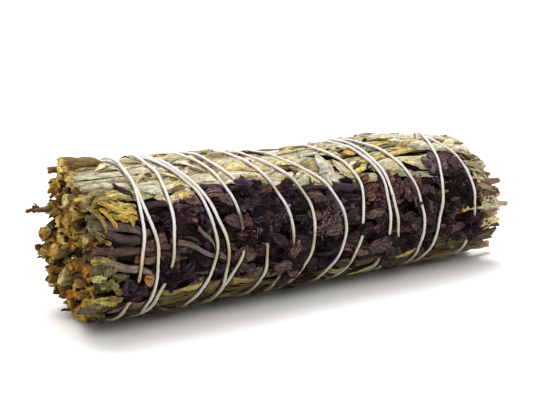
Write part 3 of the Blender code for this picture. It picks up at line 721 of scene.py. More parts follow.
def stalks(heap, rng, start, end, girth, bark, pith, **how):
    """Lays a stem from each start to each end: along, round, and depth under the stick's surface."""
    look = {**STALK_LOOK, **how}
    start, end = np.atleast_2d(start).astype(float), np.atleast_2d(end).astype(float)
    count, rows, sides = len(start), look["rows"], look["sides"]

    def one(low, high):
        return rng.uniform(low, high, (count, 1, 1))

    even = np.linspace(0, 1, rows)
    body = even * (1 - look["crowd"]) + (0.5 - 0.5 * np.cos(math.pi * even)) * look["crowd"]
    u = np.concatenate([[0, 0, 0], body, [1, 1, 1]])[None, :, None]
    size = np.concatenate([[0.3, 0.62, 0.9], np.ones(rows), [0.9, 0.62, 0.3]])[None, :, None]
    rings = size.size
    theta = (np.arange(sides) * 2 * math.pi / sides)[None, None]
    span = (end - start)[:, :, None, None]
    x = start[:, 0, None, None] + span[:, 0] * u
    level = -(start[:, 2, None, None] + span[:, 2] * u)
    level = level + look["wander"] * 0.4 * np.sin(2 * math.pi * one(0.8, 2.5) * u + one(0, 6.28))
    level = level - look["sink"] * np.abs(2 * u - 1) ** 6 * (x < 42)
    middle_radius = np.maximum(radius_at(x) + level, 0.05)
    drift = look["wander"] * np.sin(2 * math.pi * one(0.6, 2.2) * u + one(0, 6.28))
    middle_turn = start[:, 1, None, None] + span[:, 1] * u
    middle_turn = middle_turn + np.degrees(drift / np.maximum(middle_radius, 3.0))
    radius = np.asarray(girth)[:, None, None] * (1 + look["taper"] * (0.5 - u)) * size
    radius = radius * (1 + 0.06 * np.sin(2 * math.pi * one(2, 5) * u + one(0, 6.28)))
    ridges = rng.integers(3, 7, (count, 1, 1)) * theta + one(0, 6.28) + one(-1, 1) * u
    radius = radius * (1 + look["ridge"] * np.cos(ridges))
    radius = radius * (1 + look["groove"] * rng.normal(size=(count, 1, sides)))
    radius = radius * (1 + 0.02 * rng.normal(size=(count, rings, sides)))
    beside, outward = directions(middle_turn)
    points = in_room(x, middle_turn, middle_radius) + 0.001 * radius[..., None] * (
        np.cos(theta)[..., None] * beside + look["flat"] * np.sin(theta)[..., None] * outward
    )
    out_of_end = np.where(u < 0.5, -1, 1)
    near_cut = np.clip(1 - np.minimum(u, 1 - u) * np.abs(span[:, 0]) / 1.5, 0, 1)
    tilt = np.where(u < 0.5, one(-1, 1), one(-1, 1)) * look["slant"] * np.cos(theta + one(0, 6.28))
    points[..., 0] += 0.001 * radius * tilt * near_cut
    ragged = look["torn"] * rng.normal(size=(count, rings, sides)) * (near_cut > 0.98)
    points[..., 0] += 0.001 * out_of_end * (ragged + 0.1 * (size < 0.95) + 0.06 * (size < 0.8))
    place, angle, reach = on_stick(points)
    top = lid(place, angle, drawer(rng, count, look)("swell"), look["step"], look["near"])
    height = pressed(reach - radius_at(place), top, look["give"])
    points = in_room(place, angle, radius_at(place) + height)
    pale = np.clip((0.95 - size) / 0.2, 0, 1)[..., None]
    rim_color = (pith * np.array([0.55, 0.36, 0.25]))[:, None, None]
    rim_share = (near_cut**2 * (0.55 + 0.45 * (size < 0.99)))[..., None]
    tint = bark[:, None, None] * (1 - rim_share) + rim_color * rim_share
    tint = tint * (1 - pale) + pith[:, None, None] * pale
    tint = tint * (1 + look["mottle"] * rng.normal(size=(count, rings, sides, 1)) * (1 + pale))
    # painted shade: stems deep in the stick are tinted darker and browner
    tint = tint * painted_shade_at(place, angle, height)
    across = radius * np.cos(theta) * 1.4
    lengthwise = u * np.abs(span[:, 0]) + 0 * across
    grain = np.stack([lengthwise, across, radius * np.sin(theta) * 1.4 + one(0, 400)], -1)
    heap.add_tubes(points, tint, grain, 1)


def torn_bark(heap, rng, x, turn, depth, girth):
    """Strips of bark torn loose round a cut end."""
    count = 7
    theta = rng.uniform(0, 2 * math.pi, count)
    beside, outward = directions(turn)
    radial = np.cos(theta)[:, None] * beside + np.sin(theta)[:, None] * outward
    middle = in_room(np.array([x]), np.array([turn]), radius_at(x) - depth) * 1000
    middle = middle + radial * girth * rng.uniform(0.85, 1.12, (count, 1))
    middle = middle + rng.uniform(-0.5, 2.2, (count, 1)) * np.array([1, 0, 0])
    ahead = np.array([-1, 0, 0]) + radial * rng.uniform(-0.5, 0.35, (count, 1))
    ahead = ahead + 0.2 * rng.normal(size=(count, 3))
    scraps(
        heap, rng, middle, ahead, radial, mixed(rng, TORN, count, 0.2), length=(1.4, 3.6), width=(0.6, 1.5),
        bow=(-0.8, 0.9), curl=(0.6, 1.4), convex=1, crumple=0.1, rows=8, columns=4, thick=0.22, finish=1,
    )


def leaf_litter(heap, rng, turn, share, spread, count, right=False):
    """Crumpled leaves between the cut stems at one end."""
    part = np.clip(share + rng.uniform(-0.17, 0.17, count), 0, 0.93)
    angle = turn + rng.uniform(-spread, spread, count)
    if right:
        x = right_face(angle) - rng.uniform(0, 6, count)
    else:
        x = left_face(part, angle) + rng.uniform(0.5, 4.0, count)
    middle = in_room(x, angle, radius_at(x) * part) * 1000
    ahead = rng.normal(size=(count, 3)) * np.array([0.9, 1, 1])
    up = 0.5 * rng.normal(size=(count, 3)) + np.array([1 if right else -1, 0, 0])
    up = up + directions(angle)[1] * part[:, None]
    colors = mixed(rng, RIGHT_LITTER, count, 0.2) if right else mixed(rng, LEAF_END, count, 0.22)
    scraps(
        heap, rng, middle, ahead, up, colors, length=(2.0, 4.4), width=(1.6, 3.2), wave=(0.1, 0.5),
        bow=(-0.6, 2.4), curl=(0.8, 2.6), convex=0.75, crumple=0.22, rim=(0.34, 0.21, 0.045), rim_share=0.35,
        rows=10, columns=7, outline="round", thick=0.2,
    )


# crumpled leaves on the shoulder of the cut end: along, round, heading, length, width, depth, colour
# the darkest of them are painted shade in the gaps between the others
SHOULDER_LEAVES = {
    "core_stem_middle_10": (
        (-60.2, -9, -8, 3.4, 1.7, 0.1, 0.407, 0.357, 0.128), (-59.8, -6, 30, 3.0, 2.2, 0.4, 0.097, 0.094, 0.032),
        (-58.6, -12, -30, 3.4, 2.2, 0.2, 0.097, 0.094, 0.032), (-57.6, -8, 16, 3.0, 2.0, 0.0, 0.165, 0.15, 0.06),
        (-56.8, -14, -40, 3.2, 2.0, 0.0, 0.194, 0.169, 0.056), (-55.6, -10, -10, 3.0, 1.8, 0.2, 0.116, 0.103, 0.036),
        (-55.2, -19, -50, 3.0, 2.0, 0.2, 0.213, 0.16, 0.036), (-54.6, -14, 10, 2.6, 1.6, 0.3, 0.0534, 0.047, 0.016),
        (-60.4, -26, -4, 4.6, 1.8, 0.0, 0.369, 0.301, 0.072), (-57.6, -29, -14, 4.2, 1.7, -0.1, 0.407, 0.32, 0.072),
        (-60.4, -31, -6, 4.2, 1.6, 0.2, 0.165, 0.141, 0.04), (-60.2, 2, -2, 4.0, 1.5, 0.2, 0.407, 0.338, 0.088),
        (-59.0, -20, -6, 3.6, 1.8, 0.7, 0.0679, 0.0564, 0.016), (-55.6, -27, -20, 3.2, 1.8, 0.1, 0.213, 0.169, 0.048),
        (-58.0, -18, 20, 3.0, 1.6, 0.1, 0.272, 0.226, 0.064),
        (-59.6, -15, -16, 3.0, 1.4, 0.0, 0.0485, 0.0423, 0.0144),
    ),
    "core_stem_middle_1": (
        (-60.0, 26, -8, 3.0, 1.7, 0.5, 0.136, 0.141, 0.056), (-59.2, 22, -30, 2.8, 1.7, 0.6, 0.165, 0.16, 0.064),
        (-59.6, 30, 10, 2.6, 1.8, 0.5, 0.0776, 0.0752, 0.028),
    ),
}
CORE_SEED = 7
# rings of stems from the middle out: how many, the share of the radius, and the litter at each end
CORE_RINGS = (("center", 1, 0.02, 14, 7), ("inner", 5, 0.305, 9, 7), ("middle", 10, 0.575, 10, 9))
for ring, total, share, left_litter, right_litter in CORE_RINGS:
    for number in range(total):
        node = f"core_stem_{ring}" if total == 1 else f"core_stem_{ring}_{number + 1}"
        rng = np.random.default_rng([CORE_SEED, total, number])
        heap = Heap()
        offset = 360 / total * (number + 0.5)
        first = left_face(share, offset) + rng.uniform(-0.6, 0.6)
        last = 48 + rng.uniform(-2.5, 2.0)
        depth = (1 - share) * radius_at(first)
        girth = rng.uniform(1.35, 1.9)
        start = beside_flowers(first, offset, depth)
        end = beside_flowers(last, offset, (1 - share) * radius_at(last))
        stalks(
            heap, rng, start, end, [girth], mixed(rng, BARK, 1), mixed(rng, PITH, 1), sides=16, rows=24,
            crowd=0.9, torn=0.24,
        )
        torn_bark(heap, rng, first, start[0, 1], depth, girth)
        leaf_litter(heap, rng, start[0, 1], share, 180 / total, left_litter)
        leaf_litter(heap, rng, end[0, 1], share, 180 / total, right_litter, right=True)
        # broad leaves pressed flat between the stems
        count = 10
        x = rng.uniform(-53, 30, count)
        around = offset + rng.uniform(-180, 180, count) / total
        between = (-depth - 2, -depth + 2)
        leaves(
            heap, rng, x, flower_middle(x) + around, mixed(rng, LEAF_END, count), length=(16, 26),
            width=(5, 7), rows=8, columns=5, root=between, tip=between, heading=(-5, 5), past=-2,
        )
        if node in SHOULDER_LEAVES:
            seen_leaves(
                heap, rng, SHOULDER_LEAVES[node], columns=8, crumple=0.42, curl=(0.8, 2.6), convex=0.5,
                wave=(0.2, 0.7), twist=(-0.7, 0.7), arch=(0.0, 0.8), outline="strap", rim=(0.30, 0.22, 0.06),
                rim_share=0.3, ragged=0.16, mottle=0.25, swell=(0.1, 0.7), thick=0.2,
            )
        heap.piece(f"bare_stem_{ring}_{number + 1}", [leaf_skin, stem_skin], "sage_stem", node)

# Leafy sage stems
# Fifteen cut stems with their leaves still on, laid side by side round the outside. Stems, side
# shoots and most leaves lie along the stick; broken bits and crumbs are caught between them.
SAGE_STEMS, SAGE_SEED = 15, 11
# along the stick: where stems are cut, where their stubs go over into the rest of them, and their tips
CUT_END, STUB_END, TIP_END = -54, -40, 47
STRAW = (
    (0.26, 0.63, 0.575, 0.42), (0.3, 0.545, 0.48, 0.315), (0.18, 0.465, 0.426, 0.26), (0.12, 0.316, 0.287, 0.149),
    (0.09, 0.558, 0.426, 0.14), (0.05, 0.186, 0.111, 0.0465),
)
BIT_SHARES = (0.18, 0.22, 0.18, 0.16, 0.1, 0.16)
DUST = (
    (0.26, 0.52, 0.45, 0.27), (0.2, 0.46, 0.36, 0.11), (0.2, 0.30, 0.26, 0.13), (0.12, 0.26, 0.12, 0.03),
    (0.22, 0.08, 0.05, 0.03),
)
PALE_BARK = ((0.3, 0.52, 0.46, 0.29), (0.3, 0.40, 0.34, 0.18))
CUT_BARK = {1: PALE_BARK, 2: PALE_BARK, 3: PALE_BARK, 4: ((1, 0.19, 0.12, 0.035),)}
STICK_PITH = ((1, 0.55, 0.22, 0.04), (1, 0.60, 0.34, 0.08))
TWIG_BARK = ((1, 0.13, 0.075, 0.045),)
TWIG_BUD = ((1, 0.12, 0.06, 0.03),)
# where side shoots and leaves begin along the stick, and which way broken bits head
FIRST_SHOOT = {1: -57.5, 2: -57.5, 3: -51, 4: -45, 5: -46}
BIT_HEADING = {1: (-8, 50), 15: (-50, 8)}
sage_width = (360 - 2 * FLOWER_HALF_WIDTH) / SAGE_STEMS
# stems that lie at the surface where they are cut: along, round, depth, half thickness and rise
STEMS_ON_TOP = {
    2: (-57.8, 72, 1.7, 1.5, 0), 4: (-57.2, 95, 0.9, 2.15, 1.3), 6: (-54.8, 138, 1.6, 1.5, 0),
    8: (-55.6, 183, 1.5, 1.3, 0), 9: (-56.0, 196, 1.5, 1.3, 0),
}
# leaves that the stick rests on: along, and the share of the way across their stem
FOOT_PLACES = {11: ((34.0, 0.28),), 12: ((-39.3, 0.33), (34.2, 0.72)), 13: ((-39.7, 0.67),)}
# stems seen past the right end: reach, round, depth, half thickness, colour
RIGHT_STICKS = {
    1: ((47.4, 58, 3.4, 0.9, (0.50, 0.50, 0.29)), (47.4, 50, 2.8, 0.8, (0.44, 0.44, 0.25))),
    2: ((46.4, 66, 2.8, 0.9, (0.27, 0.29, 0.15)),),
    14: ((48.8, -62, 2.0, 0.7, (0.16, 0.11, 0.06)),),
    15: ((54.2, -64, 0.9, 0.95, (0.34, 0.23, 0.11)), (49.8, -46, 2.2, 0.6, (0.20, 0.12, 0.06))),
}
# leaves that stand out: along, round, heading, length, width, depth, colour
SEEN_LEAVES = {
    1: (
        (0.2, 68, -84, 10.0, 5.2, -0.3, 0.58, 0.565, 0.46), (3.0, 58, -68, 6.0, 3.0, -0.2, 0.52, 0.50, 0.36),
        (-46.5, 49, -25, 4.2, 2.0, -0.2, 0.60, 0.60, 0.48), (-44.5, 43, 35, 4.4, 2.2, -0.2, 0.56, 0.55, 0.42),
        (-43.0, 47, -40, 3.6, 2.2, -0.2, 0.52, 0.52, 0.38), (-39.0, 40.5, -20, 2.6, 2.0, -0.3, 0.70, 0.46, 0.10),
        (-20.6, 49, -12, 4.4, 1.5, -0.3, 0.66, 0.53, 0.20), (-5.6, 47.6, -40, 3.6, 1.7, -0.3, 0.70, 0.54, 0.16),
        (3.6, 44, 0, 6.2, 1.5, -0.3, 0.66, 0.52, 0.14), (4.2, 53, -30, 2.8, 2.2, -0.3, 0.62, 0.36, 0.07),
        (16.0, 44, -12, 6.0, 1.8, -0.3, 0.55, 0.49, 0.30), (-36.5, 52, -6, 9.0, 2.4, -0.1, 0.62, 0.58, 0.42),
    ),
    2: (
        (-6.6, 68, -78, 6.4, 1.7, -0.3, 0.72, 0.66, 0.48), (7.0, 65, -25, 2.8, 2.2, -0.3, 0.70, 0.40, 0.08),
        (-11.5, 62, 0, 4.5, 2.0, -0.2, 0.68, 0.58, 0.26), (24.0, 70, -10, 9.0, 2.6, -0.2, 0.64, 0.58, 0.40),
        (-31.0, 74, 8, 4.6, 2.0, -0.3, 0.20, 0.11, 0.09), (26.0, 62, 14, 4.0, 2.0, -0.3, 0.40, 0.40, 0.24),
    ),
    15: (
        (-39.6, -30.5, 2, 6.2, 2.1, -0.4, 0.4, 0.311, 0.0936), (-46.0, -34, 6, 9.0, 1.8, -0.2, 0.208, 0.163, 0.0576),
        (-33.0, -34, -4, 8.0, 2.2, -0.2, 0.192, 0.148, 0.0648), (-28.0, -31, -10, 7.0, 1.8, -0.1, 0.272, 0.2, 0.0648),
        (-2.0, -46, 6, 8.0, 2.0, -0.3, 0.336, 0.259, 0.0864), (7.0, -57, 24, 9.5, 2.0, -0.3, 0.4, 0.318, 0.101),
        (15.0, -47, 22, 10.0, 1.9, -0.4, 0.432, 0.34, 0.108), (-55.0, -43, 4, 9.0, 2.0, -0.3, 0.16, 0.104, 0.072),
        (2.0, -45, -8, 5.0, 1.6, -0.3, 0.288, 0.222, 0.072),
    ),
}
# where sage lies over the flowers: first and last along, lowest and highest round, how many leaves
OVER_FLOWERS = {
    1: ((10.5, 22, 31, 47, 16), (14, 20, 36, 45, 10), (4.5, 8, 34, 41, 5), (-46, -38, 35, 45, 9)),
    15: ((-46, -22, -43, -30, 16),),
}
# leaves of a curled, yellowed bud beside the flower stems
BUD_LEAVES = (
    (-57.4, 42, -4, 5.0, 1.7, -0.1, 0.34, 0.28, 0.08), (-56.8, 40, -26, 5.6, 1.6, -0.5, 0.54, 0.40, 0.09),
    (-55.8, 38, -40, 5.0, 1.6, -0.4, 0.42, 0.33, 0.08), (-56.8, 36, -58, 5.0, 1.5, -0.3, 0.52, 0.37, 0.06),
    (-54.6, 42, 2, 5.2, 1.6, -0.2, 0.36, 0.31, 0.11), (-53.6, 34, -16, 5.4, 1.7, -0.5, 0.56, 0.42, 0.09),
    (-57.8, 33, -70, 4.0, 1.6, 0.3, 0.22, 0.19, 0.06), (-54.4, 29, -8, 5.2, 1.6, -0.4, 0.50, 0.32, 0.05),
    (-52.8, 38, -30, 4.6, 1.6, -0.3, 0.46, 0.36, 0.09), (-55.6, 33, 14, 4.4, 1.6, -0.3, 0.34, 0.29, 0.09),
    (-59.0, 39, -50, 4.2, 1.8, 0.2, 0.24, 0.21, 0.08), (-52.4, 32, -60, 3.6, 1.5, -0.2, 0.42, 0.29, 0.05),
    (-58.4, 46, 6, 4.4, 1.8, 0.1, 0.27, 0.25, 0.10), (-53.4, 44, -14, 4.2, 1.6, 0.0, 0.32, 0.30, 0.13),
    (-55.0, 37, -34, 5.0, 1.4, -0.7, 0.62, 0.46, 0.11), (-54.2, 40, -44, 4.6, 1.3, -0.6, 0.60, 0.47, 0.14),
    (-53.2, 36, -6, 4.6, 1.3, -0.7, 0.44, 0.36, 0.10), (-55.4, 31, -26, 4.2, 1.4, -0.6, 0.30, 0.22, 0.05),
    # the last two, laid deepest and nearly black, are painted shade under the others
    (-57.6, 38, -14, 6.0, 1.4, 0.5, 0.07, 0.06, 0.02), (-55.6, 35, -30, 6.0, 1.6, 0.5, 0.09, 0.07, 0.02),
)
# straws that stand out: start and end (along, round, depth), half thickness, colour
SEEN_STRAWS = {
    1: (
        (-58.0, 56, 0.4, -38, 50, 0.5, 0.75, 0.52, 0.49, 0.34), (12.0, 46, 0.3, 33.0, 49, 0.4, 1.0, 0.64, 0.58, 0.38),
        (-36, 49, 0.3, -20, 51, 0.4, 0.8, 0.56, 0.50, 0.30), (-58.5, 61, 0.6, -44, 60, 0.7, 0.6, 0.46, 0.44, 0.30),
        (-57.0, 51, 0.7, -46, 55, 0.6, 0.55, 0.40, 0.37, 0.22),
    ),
    2: (
        (-58.4, 67, 0.5, -34, 66, 0.5, 0.8, 0.55, 0.51, 0.36), (25.5, 67, 0.3, 44.0, 60, 0.6, 1.45, 0.66, 0.61, 0.44),
        (-27, 68, 0.3, -4, 72, 0.4, 1.0, 0.62, 0.55, 0.36), (-57.6, 73, 0.7, -42, 71, 0.7, 0.65, 0.44, 0.41, 0.27),
    ),
    3: (
        (18.0, 85, 0.4, 44.5, 80, 0.6, 1.3, 0.62, 0.57, 0.40), (-50.5, 83, 0.7, -26, 82, 0.5, 1.0, 0.58, 0.53, 0.38),
    ),
    15: (
        (25.0, -63, 0.2, 46.5, -50, 0.2, 0.9, 0.19, 0.12, 0.06),
        (-60.0, -44, 1.2, -48, -42, 0.7, 0.8, 0.13, 0.09, 0.075),
    ),
}


def strewn(heap, rng, first, last, offset, spread, palette, count, light=0.16, **how):
    """Leaves at random places along one stem."""
    x = rng.uniform(first, last, count)
    angle = flower_middle(x) + offset + rng.uniform(-spread, spread, count)
    leaves(heap, rng, x, angle, mixed(rng, palette, count, light), **how)


for number in range(1, SAGE_STEMS + 1):
    rng = np.random.default_rng([SAGE_SEED, number])
    heap = Heap()
    offset = FLOWER_HALF_WIDTH + sage_width * (number - 0.5)
    # painted shade under the stick, together with the leaves' own darker, browner colour there: stems 14 and 15, the
    # lowest, are tinted far darker and browner in their shoots, leaves, rims, bits, crumbs and shoot pith
    low = np.array((1, 0.205, 0.16, 0.098) if number >= 14 else (1, 1, 1, 1))
    straw = np.array(STRAW) * low
    # the stem itself: its cut stub, then the rest
    foot = flower_middle(CUT_END) + offset
    inside = (left_face(0.8, foot) + rng.uniform(-0.6, 0.6), foot, 2.7, rng.uniform(1.25, 1.6), 0)
    x, turn, depth, girth, rise = STEMS_ON_TOP.get(number, inside)
    stalks(
        heap, rng, (x, turn, depth), beside_flowers(STUB_END, offset, 3.0), [girth],
        mixed(rng, CUT_BARK.get(number, BARK), 1), mixed(rng, PITH, 1), sides=16, rows=22, crowd=0.5, torn=0.24,
        swell=(rise, rise + 0.1),
    )
    last = right_face(flower_middle(46) + offset) - 1 + rng.uniform(-1.5, 2.0)
    stalks(
        heap, rng, (STUB_END - 1, flower_middle(STUB_END) + offset, 3.1), beside_flowers(last, offset, 2.8),
        [1.3], mixed(rng, BARK, 1), mixed(rng, PITH, 1), rows=22, crowd=0.5,
    )
    torn_bark(heap, rng, x, turn, depth, girth)
    # side shoots near the surface
    count = 11
    start = FIRST_SHOOT.get(number, -52)
    first = np.concatenate([start + rng.uniform(-1.5, 3, 4), rng.uniform(-45, 24, count - 4)])
    around = offset + rng.uniform(-8.5, 8.5, count)
    last = np.minimum(first + rng.uniform(18, 46, count), right_face(14 + around) + rng.uniform(-2, 2, count))
    girth = rng.uniform(0.5, 1.05, count)
    deep = girth * 0.6 + rng.uniform(-0.2, 0.6, (2, count))
    stalks(
        heap, rng, beside_flowers(first, around, deep[0]),
        beside_flowers(last, around + rng.uniform(-4, 4, count), deep[1]), girth,
        mixed(rng, straw, count), mixed(rng, PITH, count) * low[1:], rows=22, sides=9, flat=0.62, sink=0.7,
        ridge=0.12, step=0.8,
    )
    # long leaves, the lower layer first
    for layer, count in ((1.1, 8), (0.45, 5)):
        x = np.linspace(start + 2, 38, count) + rng.uniform(-3, 3, count)
        angle = flower_middle(x + 8) + offset + rng.uniform(-9, 9, count)
        leaves(
            heap, rng, x, angle, mixed(rng, straw, count), length=(9, 22), width=(1.5, 3.2),
            root=(-layer - 0.9, -layer - 0.4), tip=(-layer - 0.5, -layer + 0.2), rows=17, columns=6,
            rim=np.array((0.19, 0.15, 0.065)) * low[1:], rim_share=0.62,
        )
    # broken bits and crumbs
    broken = np.column_stack([BIT_SHARES, straw[:, 1:]])
    strewn(
        heap, rng, start, 44, offset, 9.5, broken, 26, 0.24, length=(2.5, 8.0), width=(0.9, 3.0),
        heading=BIT_HEADING.get(number, (-50, 50)), root=(-0.9, 0.0), tip=(-0.5, 0.5), twist=(-0.9, 0.9),
        curl=(0.6, 2.4), convex=0.5, ragged=0.25, crumple=0.2, rows=8, swell=(-0.3, 0.8), step=0.8,
    )
    strewn(
        heap, rng, start, 37, offset, 10, np.array(DUST) * low, 25, 0.25, length=(0.5, 1.8), width=(0.3, 1.0),
        heading=(-90, 90), root=(-0.7, 0.1), tip=(-0.7, 0.1), twist=(-1.5, 1.5), ragged=0.3, outline="round",
        rows=4, columns=3, swell=(-0.3, 0.45), step=0.5,
    )
    leaf_litter(heap, rng, foot, 0.84, sage_width / 2 + 1, 18 if number in (9, 10) else 11)
    leaf_litter(heap, rng, flower_middle(TIP_END) + offset, 0.84, sage_width / 2 + 1, 8, right=True)
    # leaf tips past the string at the right end
    strewn(
        heap, rng, 38, 43, offset, 9, straw, 9, length=(5, 9), width=(1.2, 2.8), root=(-1.8, -0.4),
        tip=(-2.0, 0.2), past=1.5, rows=9, heading=(-14, 14), outline="strap", crumple=0.22,
    )
    for x, turn, depth, girth, color in RIGHT_STICKS.get(number, ()):
        stalks(
            heap, rng, (34, turn, 2.6), (x, turn, depth), [girth], np.array([color]), mixed(rng, STICK_PITH, 1),
            rows=16, crowd=0.4, swell=(0.4, 0.5),
        )
    # leaves pressed flat where the stick rests on the table
    for x, across in FOOT_PLACES.get(number, ()):
        place = np.array([x - 2.2, x - 1.4])
        around = FLOWER_HALF_WIDTH + sage_width * (number - 1 + across) + np.array([-1.5, 1.5])
        leaves(
            heap, rng, place, flower_middle(place) + around, mixed(rng, straw, 2), length=(4.2, 4.6),
            width=(2.2, 2.6), heading=(-3, 3), bend=(-4, 4), root=(2, 2), tip=(2, 2), curl=(0.2, 0.4),
            crumple=0.05, rows=7, gap=0.0,
        )
    if number == 8:
        # a bent twig with a bud, well past the cut ends
        twig_bark, twig_pith = mixed(rng, TWIG_BARK, 2), mixed(rng, PITH, 2)
        stalks(
            heap, rng, ((-49, 160, 3.6), (-57.3, 159, 2.7)), ((-57.6, 159, 2.7), (-60.6, 155, 3.5)), [0.6, 0.42],
            twig_bark, twig_pith, rows=14, sides=9, ridge=0.12, wander=0.15,
        )
        middle = in_room(np.array([-57.4] * 5), np.array([158] * 5), radius_at(-57) - 2.3) * 1000
        scraps(
            heap, rng, middle + rng.uniform(-0.5, 0.5, (5, 3)), rng.normal(size=(5, 3)) + np.array([0, 0, 1]),
            rng.normal(size=(5, 3)), mixed(rng, TWIG_BUD, 5), length=(1.2, 2.0), width=(0.7, 1.2),
            curl=(0.8, 2.4), crumple=0.1, ragged=0.2, finish=1,
        )
    # leaves that reach over the edge of the flowers
    for first, last, low_turn, high_turn, count in OVER_FLOWERS.get(number, ()):
        x = rng.uniform(first, last, count)
        around = rng.uniform(low_turn, high_turn, count)
        leaves(
            heap, rng, x, around, mixed(rng, straw, count), length=(5, 10), width=(1.2, 2.8), root=(-0.6, 0.2),
            tip=(-0.6, 0.2), rows=12, columns=6, heading=(-12, 8), swell=(0.1, 0.6),
        )
    if number in SEEN_LEAVES:
        seen_leaves(
            heap, rng, SEEN_LEAVES[number], columns=7, crumple=0.08, bend=(-8, 8), swell=(0.3, 0.6),
            curl=(0.5, 1.3), outline="round",
        )
    if number in SEEN_STRAWS:
        rows = np.array(SEEN_STRAWS[number])
        stalks(
            heap, rng, rows[:, :3], rows[:, 3:6], rows[:, 6], rows[:, 7:], rows[:, 7:], rows=30, sides=11,
            flat=0.6, ridge=0.1, sink=0.3, wander=0.15, swell=(0.3, 0.4), step=0.8,
        )
    if number == 1:
        seen_leaves(
            heap, rng, BUD_LEAVES, rows=14, columns=8, crumple=0.24, curl=(1.6, 2.8), convex=0.4, fold=(0.1, 0.6),
            arch=(0.4, 1.6), twist=(-0.8, 0.8), wave=(0.2, 0.6), swell=(0.8, 1.3), rim=(0.50, 0.26, 0.04),
            rim_share=0.75, thick=0.2, outline="strap", ragged=0.08,
        )
    if number == 4:
        # a thin stub beside the thick stem
        stalks(
            heap, rng, (-58.6, 107, 1.0), (-50, 104, 1.8), [0.68], np.array([(0.16, 0.095, 0.045)]),
            np.array([(0.42, 0.26, 0.09)]), rows=14, sides=11, swell=(0.8, 0.9),
        )
    heap.piece(f"leafy_stem_{number}", [leaf_skin, stem_skin], "dried_sage", f"sage_stem_{number}")

# Sprays of dried flowers
# Five thin flower stems over the front, bare at the left and crowded with dark, ribbed calyxes
# from there on, with brown bracts among them. In places they lie over the string.
FLOWER_SPRAYS, FLOWER_SEED = 5, 13
# the radius at which millimetres round the flowers are turned into degrees
FLOWER_RADIUS = 15.0
FLOWER = (
    (0.3, 0.0095, 0.0045, 0.0055), (0.29, 0.020, 0.0095, 0.0125), (0.17, 0.034, 0.0145, 0.024),
    (0.15, 0.053, 0.027, 0.027), (0.09, 0.105, 0.062, 0.056),
)
FLOWER_BARK = ((0.4, 0.062, 0.036, 0.031), (0.3, 0.036, 0.021, 0.023), (0.3, 0.11, 0.07, 0.05))
BRACT = (
    (0.42, 0.026, 0.014, 0.018), (0.34, 0.045, 0.025, 0.026), (0.18, 0.075, 0.043, 0.038), (0.06, 0.12, 0.05, 0.028),
)
RIGHT_TIPS = (
    (1, 0.64, 0.55, 0.32), (1, 0.30, 0.20, 0.11), (1, 0.74, 0.68, 0.44), (0.6, 0.64, 0.48, 0.14),
    (0.8, 0.11, 0.065, 0.045),
)
FUZZ = ((3, 0.10, 0.065, 0.075), (1, 0.2, 0.14, 0.13))
# tufts of fuzz: middle along and round, spread along and round, palette
TUFTED_SPRAY = 4
TUFTS = (
    (-17.6, 13, 2.8, 4, ((1, 0.21, 0.15, 0.21), (1, 0.12, 0.08, 0.12))),
    (-3.6, 7.5, 1.8, 4, ((1, 0.46, 0.27, 0.31), (1, 0.28, 0.17, 0.19))),
)
# tight clusters of buds: their sprays, how many, their ends along and round, depth, length, width,
# swell, lean and palette
BUD_CLUSTERS = (
    (
        (5,), 34, (7, 17), (18, 37), (-0.6, 0.6), (1.3, 2.2), (1.2, 1.9), (0.6, 1.1), (0, 60),
        ((1, 0.15, 0.065, 0.04), (1, 0.10, 0.05, 0.045), (0.6, 0.19, 0.085, 0.05)),
    ),
    (
        (5,), 16, (24.5, 38), (38, 50), (-0.7, 0.3), (1.8, 3.0), (1.3, 2.2), (0.6, 1.0), (-20, 60),
        ((1, 0.14, 0.085, 0.08), (1, 0.085, 0.05, 0.052), (0.5, 0.2, 0.14, 0.12)),
    ),
    (
        (4, 5), 16, (18.5, 22.5), (14, 27), (-0.6, 0.5), (1.4, 2.4), (1.2, 1.9), (0.6, 1.1), (0, 60),
        ((1, 0.13, 0.07, 0.06), (1, 0.08, 0.045, 0.05)),
    ),
)
# edges of the flowers: along, lowest and highest round
BAND = (
    (-47, -27, 32), (-42, -26, 31), (-39, -25, 33), (-33, -26, 41), (-25, -27, 44), (-17, -30, 42), (-10, -47, 40),
    (0, -41, 37), (9, -44, 37), (17, -36, 33), (22, -38, 28), (25.5, -38, 38), (29, -37, 49), (32.5, -36, 51),
    (35, -33, 46), (37, -33, 33), (38.5, -34, 14), (40, -36, -6), (42, -38, -24),
)
# how far it is to string that shows, and what leaves among the flowers share
near_bare_string = near_string + 8 * spots(grid_x, wrapped(grid_turn), UNDER_FLOWERS)
ON_FLOWERS = {"finish": 2, "near": near_bare_string}
CALYX_LOOK = {
    "length": (3.0, 6.0), "width": (1.5, 2.6), "lean": (-8, 26), "aside": (-34, 24), "swell": (-0.7, 1.0),
    "back": 0.15, "near": near_bare_string, "step": 0.7, "give": 0.35, "blunt": 0.0,
}


def in_band(rng, first, last, around, count, margin=2.0):
    """Random places among the flowers: along and round."""
    x = rng.uniform(first, last, count * 2)
    turn = flower_middle(x) + around + rng.uniform(-10, 10, count * 2)
    places, lowest, highest = np.array(BAND, float).T
    good = (turn > np.interp(x, places, lowest) + margin) & (turn < np.interp(x, places, highest) - margin)
    return x[good][:count], turn[good][:count]


